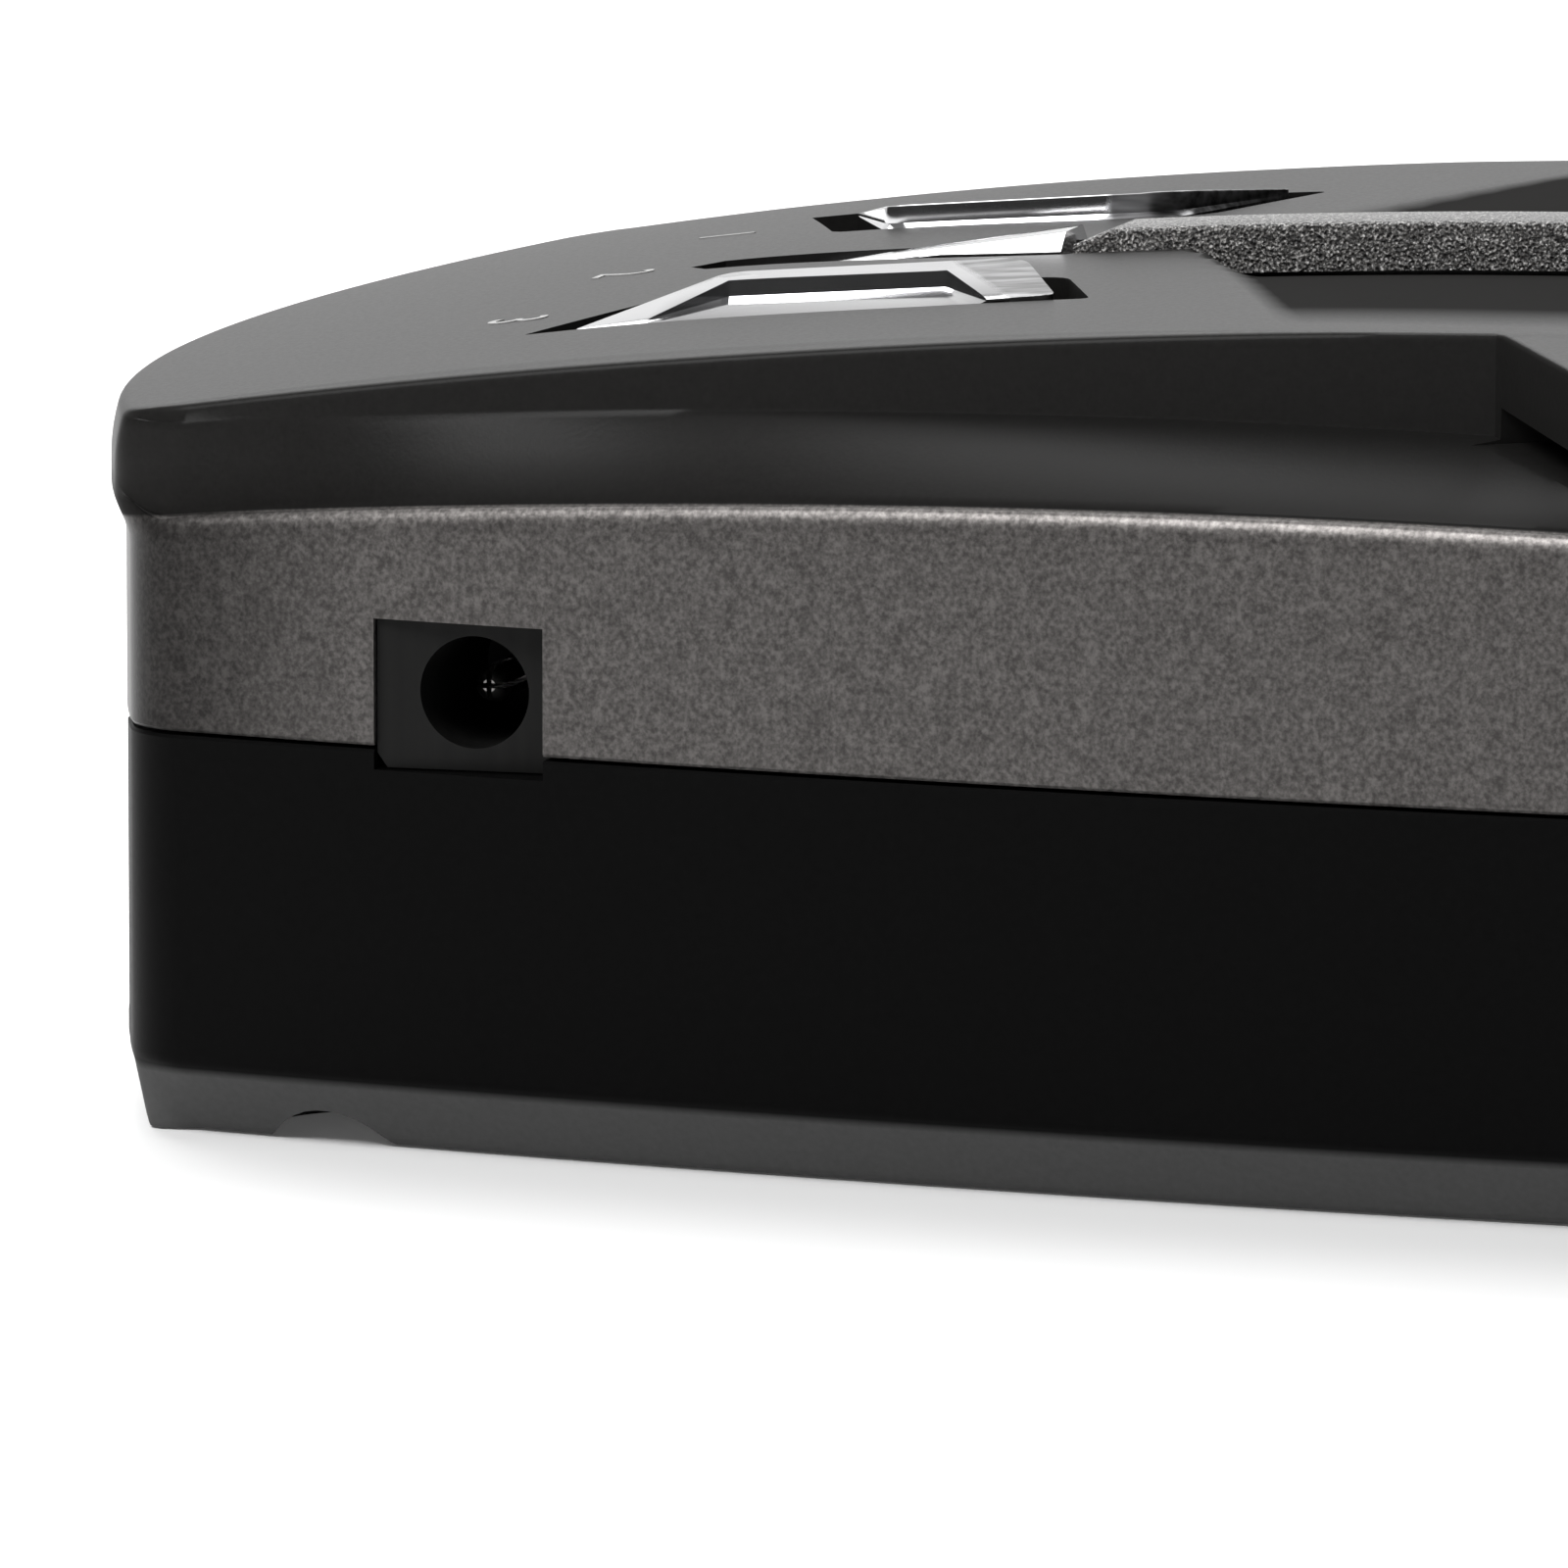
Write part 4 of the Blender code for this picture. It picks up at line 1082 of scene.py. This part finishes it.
def trough(side):
    """Tool for the recess in an outer button: a coved foot, level with the deck and open outside."""
    rings = []
    for inset, height in ((0.13, TROUGH_FLOOR), (0.05, TROUGH_FLOOR + TROUGH_COVE), (0.0, 2.0)):
        ring = []
        for x, y in TROUGH:
            outside = x > PLATE[0][0]
            px = x if outside else mix(x, TROUGH_MIDDLE[0], inset)
            py = mix(y, TROUGH_MIDDLE[1], inset * 0.5)
            ring.append((side * px, py, top_height(px, py) + height))
        rings.append(ring)
    return loft(rings)


def make_buttons():
    for name, side in (("right", 1.0), ("left", -1.0)):
        node = f"{name}_button"
        piece = finish_piece(f"{name}_blade", blade(side), CHROME, node, [node])
        carve(piece, [trough(side)], BUTTON_SHARP)
    node = "centre_button"
    finish_piece("centre_blade", spear_blade(), CHROME, node, [node], sharp=BUTTON_SHARP)


# Power inlet

def make_inlet():
    back = JACK_FACE_X - JACK_DEPTH
    (left, right), (low, high) = JACK_Y, JACK_Z
    face = [(left + 0.35, low), (right, low), (right, high), (left, high), (left, low + 0.5)]
    block = hull([(x, y, z) for x in (JACK_FACE_X - JACK_FLANGE, JACK_FACE_X) for y, z in face])
    housing = finish_piece("inlet_housing", block, INLET, "case", ["dc_jack"])
    carve(housing, [turned(JACK_HOLE, ((JACK_HOLE_R, back), (JACK_HOLE_R, JACK_FACE_X + 2.0)), "X", 64)])
    outside = JACK_HOLE_R + 0.5
    tube = turned(JACK_HOLE, ((outside, back), (outside, JACK_FACE_X - JACK_FLANGE - 0.02)), "X", 48)
    barrel = finish_piece("inlet_barrel", tube, INLET, "case")
    carve(barrel, [turned(JACK_HOLE, ((JACK_HOLE_R, back + 1.0), (JACK_HOLE_R, JACK_FACE_X)), "X", 64)])
    tip = JACK_FACE_X - JACK_PIN_DEPTH
    profile = ((0.62, back), (0.62, tip - 0.7), (0.56, tip - 0.4), (0.44, tip - 0.15), (0.22, tip))
    rod = turned(JACK_HOLE, profile, "X", 32)
    pin = finish_piece("inlet_pin", rod, PIN, "case", ["dc_jack_pin"])
    y, z = JACK_HOLE
    narrow, wide = 0.09, 1.0
    slits = ((narrow, wide), (wide, narrow))
    carve(pin, [box((tip - 2.5, y - a, z - b), (tip + 1.0, y + a, z + b)) for a, b in slits])


# Thumbwheel, windows, labels and screws

def wheel_ring(radius, height):
    """Ring about the wheel's axis, four points to a tooth; knurled outside the flat face."""
    knurl = WHEEL_KNURL if radius > WHEEL_FACE_R else 0.0
    points = []
    for step in range(WHEEL_TEETH * 4):
        groove = 0.5 - 0.5 * math.cos(2.0 * math.pi * step / 4.0)
        angle = math.pi * step / (WHEEL_TEETH * 2)
        reach = radius - knurl * groove
        points.append((WHEEL_X + reach * math.cos(angle), WHEEL_Y + reach * math.sin(angle), height))
    return points


def make_wheel():
    low, high = WHEEL_Z
    rim = ((WHEEL_R - 0.45, 0.0), (WHEEL_R - 0.1, 0.15), (WHEEL_R, 0.4))
    levels = [(WHEEL_BORE_R, high), (WHEEL_BORE_R, low), (WHEEL_FACE_R, low)]
    levels += [(radius, low + ease) for radius, ease in rim]
    levels += [(radius, high - ease) for radius, ease in reversed(rim)]
    levels += [(WHEEL_FACE_R, high), (5.5, high - 0.3), (2.6, high - 0.3)]
    bm = bmesh.new()
    loops = [[bm.verts.new(point) for point in wheel_ring(*level)] for level in levels]
    skin(bm, loops + loops[:1])
    finish_piece("volume_thumbwheel", bm, MOULDED, "volume_wheel", ["volume_wheel"])


def bevel(target):
    step = target.modifiers.new("edges", "BEVEL")
    step.width = WINDOW_BEVEL * MM
    step.segments = 3
    step.limit_method = "ANGLE"
    step.angle_limit = math.radians(40.0)


def make_windows():
    low, high = WINDOW_Z
    pane = bowed_plate(rear_edge, WINDOW_HALF, WINDOW_THICK, WINDOW_INSET, low, high, 1.0)
    bevel(finish_piece("rear_window", pane, SMOKED, "case", ["display_window"]))
    half, thick, (low, high) = FRONT_WINDOW_HALF, FRONT_WINDOW_THICK, FRONT_WINDOW_Z
    pane = bowed_plate(front_edge, half, thick, FRONT_WINDOW_INSET, low, high, -1.0)
    bevel(finish_piece("filter_window", pane, SMOKED, "case", ["front_window"]))


def make_labels():
    """Plain numbers as thin solids, laid on the arched deck."""
    for text, x in LABELS:
        curve = bpy.data.curves.new(f"label_{text}", "FONT")
        curve.body = text
        curve.size = LABEL_SIZE
        curve.align_x = "CENTER"
        curve.align_y = "CENTER"
        holder = add_object(f"label_{text}", curve)
        mesh = applied_mesh(holder)
        bpy.data.objects.remove(holder)
        bm = bmesh.new()
        bm.from_mesh(mesh)
        bpy.data.meshes.remove(mesh)
        bmesh.ops.remove_doubles(bm, verts=bm.verts, dist=0.0001)
        lifted = bmesh.ops.extrude_face_region(bm, geom=list(bm.faces))["geom"]
        tops = {item for item in lifted if isinstance(item, bmesh.types.BMVert)}
        for vert in bm.verts:
            px, py = vert.co.x + x, vert.co.y + LABEL_Y
            vert.co = (px, py, top_height(px, py) + LABEL_SKIN[vert in tops])
        finish_piece(f"printed_{text}", bm, PRINT, "case")


def spread_tree():
    """Geometry Nodes: a copy of one fastener on every point of a mesh."""
    tree = bpy.data.node_groups.new("fastener_spread", "GeometryNodeTree")
    panel = tree.interface
    panel.new_socket("Geometry", in_out="INPUT", socket_type="NodeSocketGeometry")
    panel.new_socket("Fastener", in_out="INPUT", socket_type="NodeSocketObject")
    panel.new_socket("Size", in_out="INPUT", socket_type="NodeSocketFloat")
    panel.new_socket("Finish", in_out="INPUT", socket_type="NodeSocketMaterial")
    panel.new_socket("Geometry", in_out="OUTPUT", socket_type="NodeSocketGeometry")
    nodes = Nodes(tree)
    given = tree.nodes.new("NodeGroupInput").outputs
    points, fastener, size, finish = (Sock(nodes, given[number]) for number in range(4))
    shape = nodes.add("GeometryNodeObjectInfo", None, {"Object": fastener}, "Geometry")
    values = {"Points": points, "Instance": shape, "Scale": size}
    copies = nodes.add("GeometryNodeInstanceOnPoints", None, values)
    solid = nodes.add("GeometryNodeRealizeInstances", None, {0: copies})
    painted = nodes.add("GeometryNodeSetMaterial", None, {"Geometry": solid, "Material": finish})
    nodes.add("NodeGroupOutput", None, {0: painted}, None)
    return tree


def screw_pattern():
    """One screw at the origin, head down, with a cross recess."""
    head = WELL_DEPTH - 0.2
    profile = [(1.6, head - 1.55), (2.4, head - 1.2), (2.75, head - 0.5), (2.6, head)]
    profile += [(1.2, head), (1.2, 15.6), (0.7, 16.5)]
    screw = loose_piece("screw_pattern", turned((0.0, 0.0), profile, "Z", 40), STEEL)
    long, short, deep = 1.3, 0.28, head - 0.6
    cross = [box((-a, -b, 0.0), (a, b, deep)) for a, b in ((long, short), (short, long))]
    return carve(screw, cross)


def make_screws():
    """Four screws on the points of one mesh, then a plain mesh."""
    pattern = screw_pattern()
    mesh = bpy.data.meshes.new("case_screws")
    mesh.from_pydata([(x * MM, y * MM, 0.0) for x, y in SCREWS], [], [])
    screws = add_object("case_screws", mesh)
    tree = spread_tree()
    step = screws.modifiers.new("spread", "NODES")
    step.node_group = tree
    given = {"Fastener": pattern, "Size": 1.0, "Finish": STEEL}
    for item in tree.interface.items_tree:
        if item.in_out == "INPUT" and item.name in given:
            step[item.identifier] = given[item.name]
    made = applied_mesh(screws)
    screws.modifiers.remove(step)
    screws.data = made
    bpy.data.meshes.remove(mesh)
    bpy.data.objects.remove(pattern)
    shade(made, SHARP)
    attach(screws, "case")
    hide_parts(*(f"case_screw_{number}" for number in range(1, len(SCREWS) + 1)))


# Finish of each node that is shown as it is in the CAD
INSIDE = {
    BOARD: ("main_board", "button_board", "display_board"),
    MOULDED: ("board_connector", "left_switch", "centre_switch", "right_switch", "processor", "regulator",
              "lens_holder", "photodiode", "volume_pot"),
    STEEL: ("microwave_module", "speaker_frame", "dc_jack_spring", "capacitor_1", "capacitor_2"),
    CAST: ("horn_antenna", "speaker_magnet"),
    PAPER: ("speaker_cone",),
    RED: ("digit_display",),
    CLEAR: ("laser_lens",),
}


def finish_inside():
    for finish, names in INSIDE.items():
        for name in names:
            mesh = frame["nodes"][name].data
            mesh.materials.clear()
            mesh.materials.append(finish)


# Studio: floor, lamps, world and camera

RAYS = ("Is Camera Ray", "Is Glossy Ray", "Is Transmission Ray")
FLOOR_HALF = 4.0
FLOOR_DROP = 0.05
CLIP = (0.01, 20.0)

# Name, place and aim in metres, width and height in metres, power in watts
LAMPS = (
    ("back_softbox", (-0.6, -0.16, 0.86), (0.0, 0.0, 0.0), (1.05, 1.05), 13.0),
    ("front_softbox", (0.62, -0.3, 0.75), (0.03, -0.02, 0.01), (0.5, 0.5), 8.0),
)


def make_floor():
    """White sheet just under the case, with a faint glow for the camera and reflections only."""
    mesh = bpy.data.meshes.new("floor")
    signs = ((-1, -1), (1, -1), (1, 1), (-1, 1))
    corners = [(x * FLOOR_HALF, y * FLOOR_HALF, -FLOOR_DROP * MM) for x, y in signs]
    mesh.from_pydata(corners, [], [(0, 1, 2, 3)])
    floor = add_object("floor", mesh)
    white = bpy.data.materials.new("floor_white")
    white.use_nodes = True
    nodes = Nodes(white.node_tree)
    shader = white.node_tree.nodes["Principled BSDF"]
    shader.inputs["Base Color"].default_value = (0.92, 0.92, 0.92, 1.0)
    shader.inputs["Roughness"].default_value = 1.0
    shader.inputs["Specular IOR Level"].default_value = 0.0
    seen, glossy, clear = (nodes.add("ShaderNodeLightPath", output=name) for name in RAYS)
    glow = nodes.blend(nodes.clamp(seen + glossy + clear), (0.0, 0.0, 0.0), (0.06, 0.06, 0.06))
    nodes.put(shader.inputs["Emission Color"], glow)
    shader.inputs["Emission Strength"].default_value = 1.0
    mesh.materials.append(white)


def make_world():
    """White for the camera all round and for reflections towards the backdrop; a dark room in front."""
    world = bpy.data.worlds.new("studio")
    bpy.context.scene.world = world
    world.use_nodes = True
    tree = world.node_tree
    nodes = Nodes(tree)
    background = tree.nodes["Background"]
    seen, glossy, clear = (nodes.add("ShaderNodeLightPath", output=name) for name in RAYS)
    direction = nodes.add("ShaderNodeTexCoord", output="Generated")
    back = camera_back()
    behind = nodes.dot(direction, (-back.x, -back.y, 0.0))
    height = nodes.dot(direction, (0.0, 0.0, 1.0))
    backdrop = nodes.clamp((behind - 0.68) * 5.0) * nodes.clamp((0.5 - height) * 5.0)
    ceiling = nodes.blend(nodes.clamp((height - 0.25) * 2.5), (0.04, 0.04, 0.04), (0.3, 0.3, 0.3))
    room = nodes.blend(backdrop, ceiling, (0.95, 0.95, 0.95))
    white = nodes.clamp(seen + clear + glossy * backdrop)
    nodes.put(background.inputs["Color"], nodes.blend(white, room, (1.0, 1.0, 1.0)))
    background.inputs["Strength"].default_value = 1.0


def lamp(name, place, aim, size, power):
    data = bpy.data.lights.new(name, "AREA")
    data.shape = "RECTANGLE"
    data.size, data.size_y = size
    data.energy = power
    made = add_object(name, data)
    made.location = place
    turn = (Vector(aim) - Vector(place)).to_track_quat("-Z", "Y")
    made.rotation_euler = turn.to_euler()


def camera_back():
    """Direction from the part to the camera."""
    azimuth, elevation = math.radians(CAMERA_AZIMUTH), math.radians(CAMERA_ELEVATION)
    flat = math.cos(elevation)
    return Vector((math.sin(azimuth) * flat, -math.cos(azimuth) * flat, math.sin(elevation)))


def make_camera():
    data = bpy.data.cameras.new("photo_camera")
    data.sensor_width = SENSOR
    data.lens = PIXELS_PER_MM * CAMERA_DISTANCE / IMAGE_PIXELS * SENSOR
    data.clip_start, data.clip_end = CLIP
    made = add_object("photo_camera", data)
    back = camera_back()
    made.location = (Vector(CAMERA_TARGET) + back * CAMERA_DISTANCE) * MM
    made.rotation_euler = back.to_track_quat("Z", "Y").to_euler()
    bpy.context.scene.camera = made


def make_studio():
    make_floor()
    make_world()
    for setup in LAMPS:
        lamp(*setup)
    bpy.context.scene.view_settings.view_transform = "Standard"


make_camera()
make_upper_shell()
make_lower_shell()
make_buttons()
finish_piece("top_spine", spine_mesh(), SPARK, "case", ["spine"], sharp=SPINE_SHARP)
make_inlet()
make_wheel()
make_windows()
make_labels()
make_screws()
finish_inside()
make_studio()
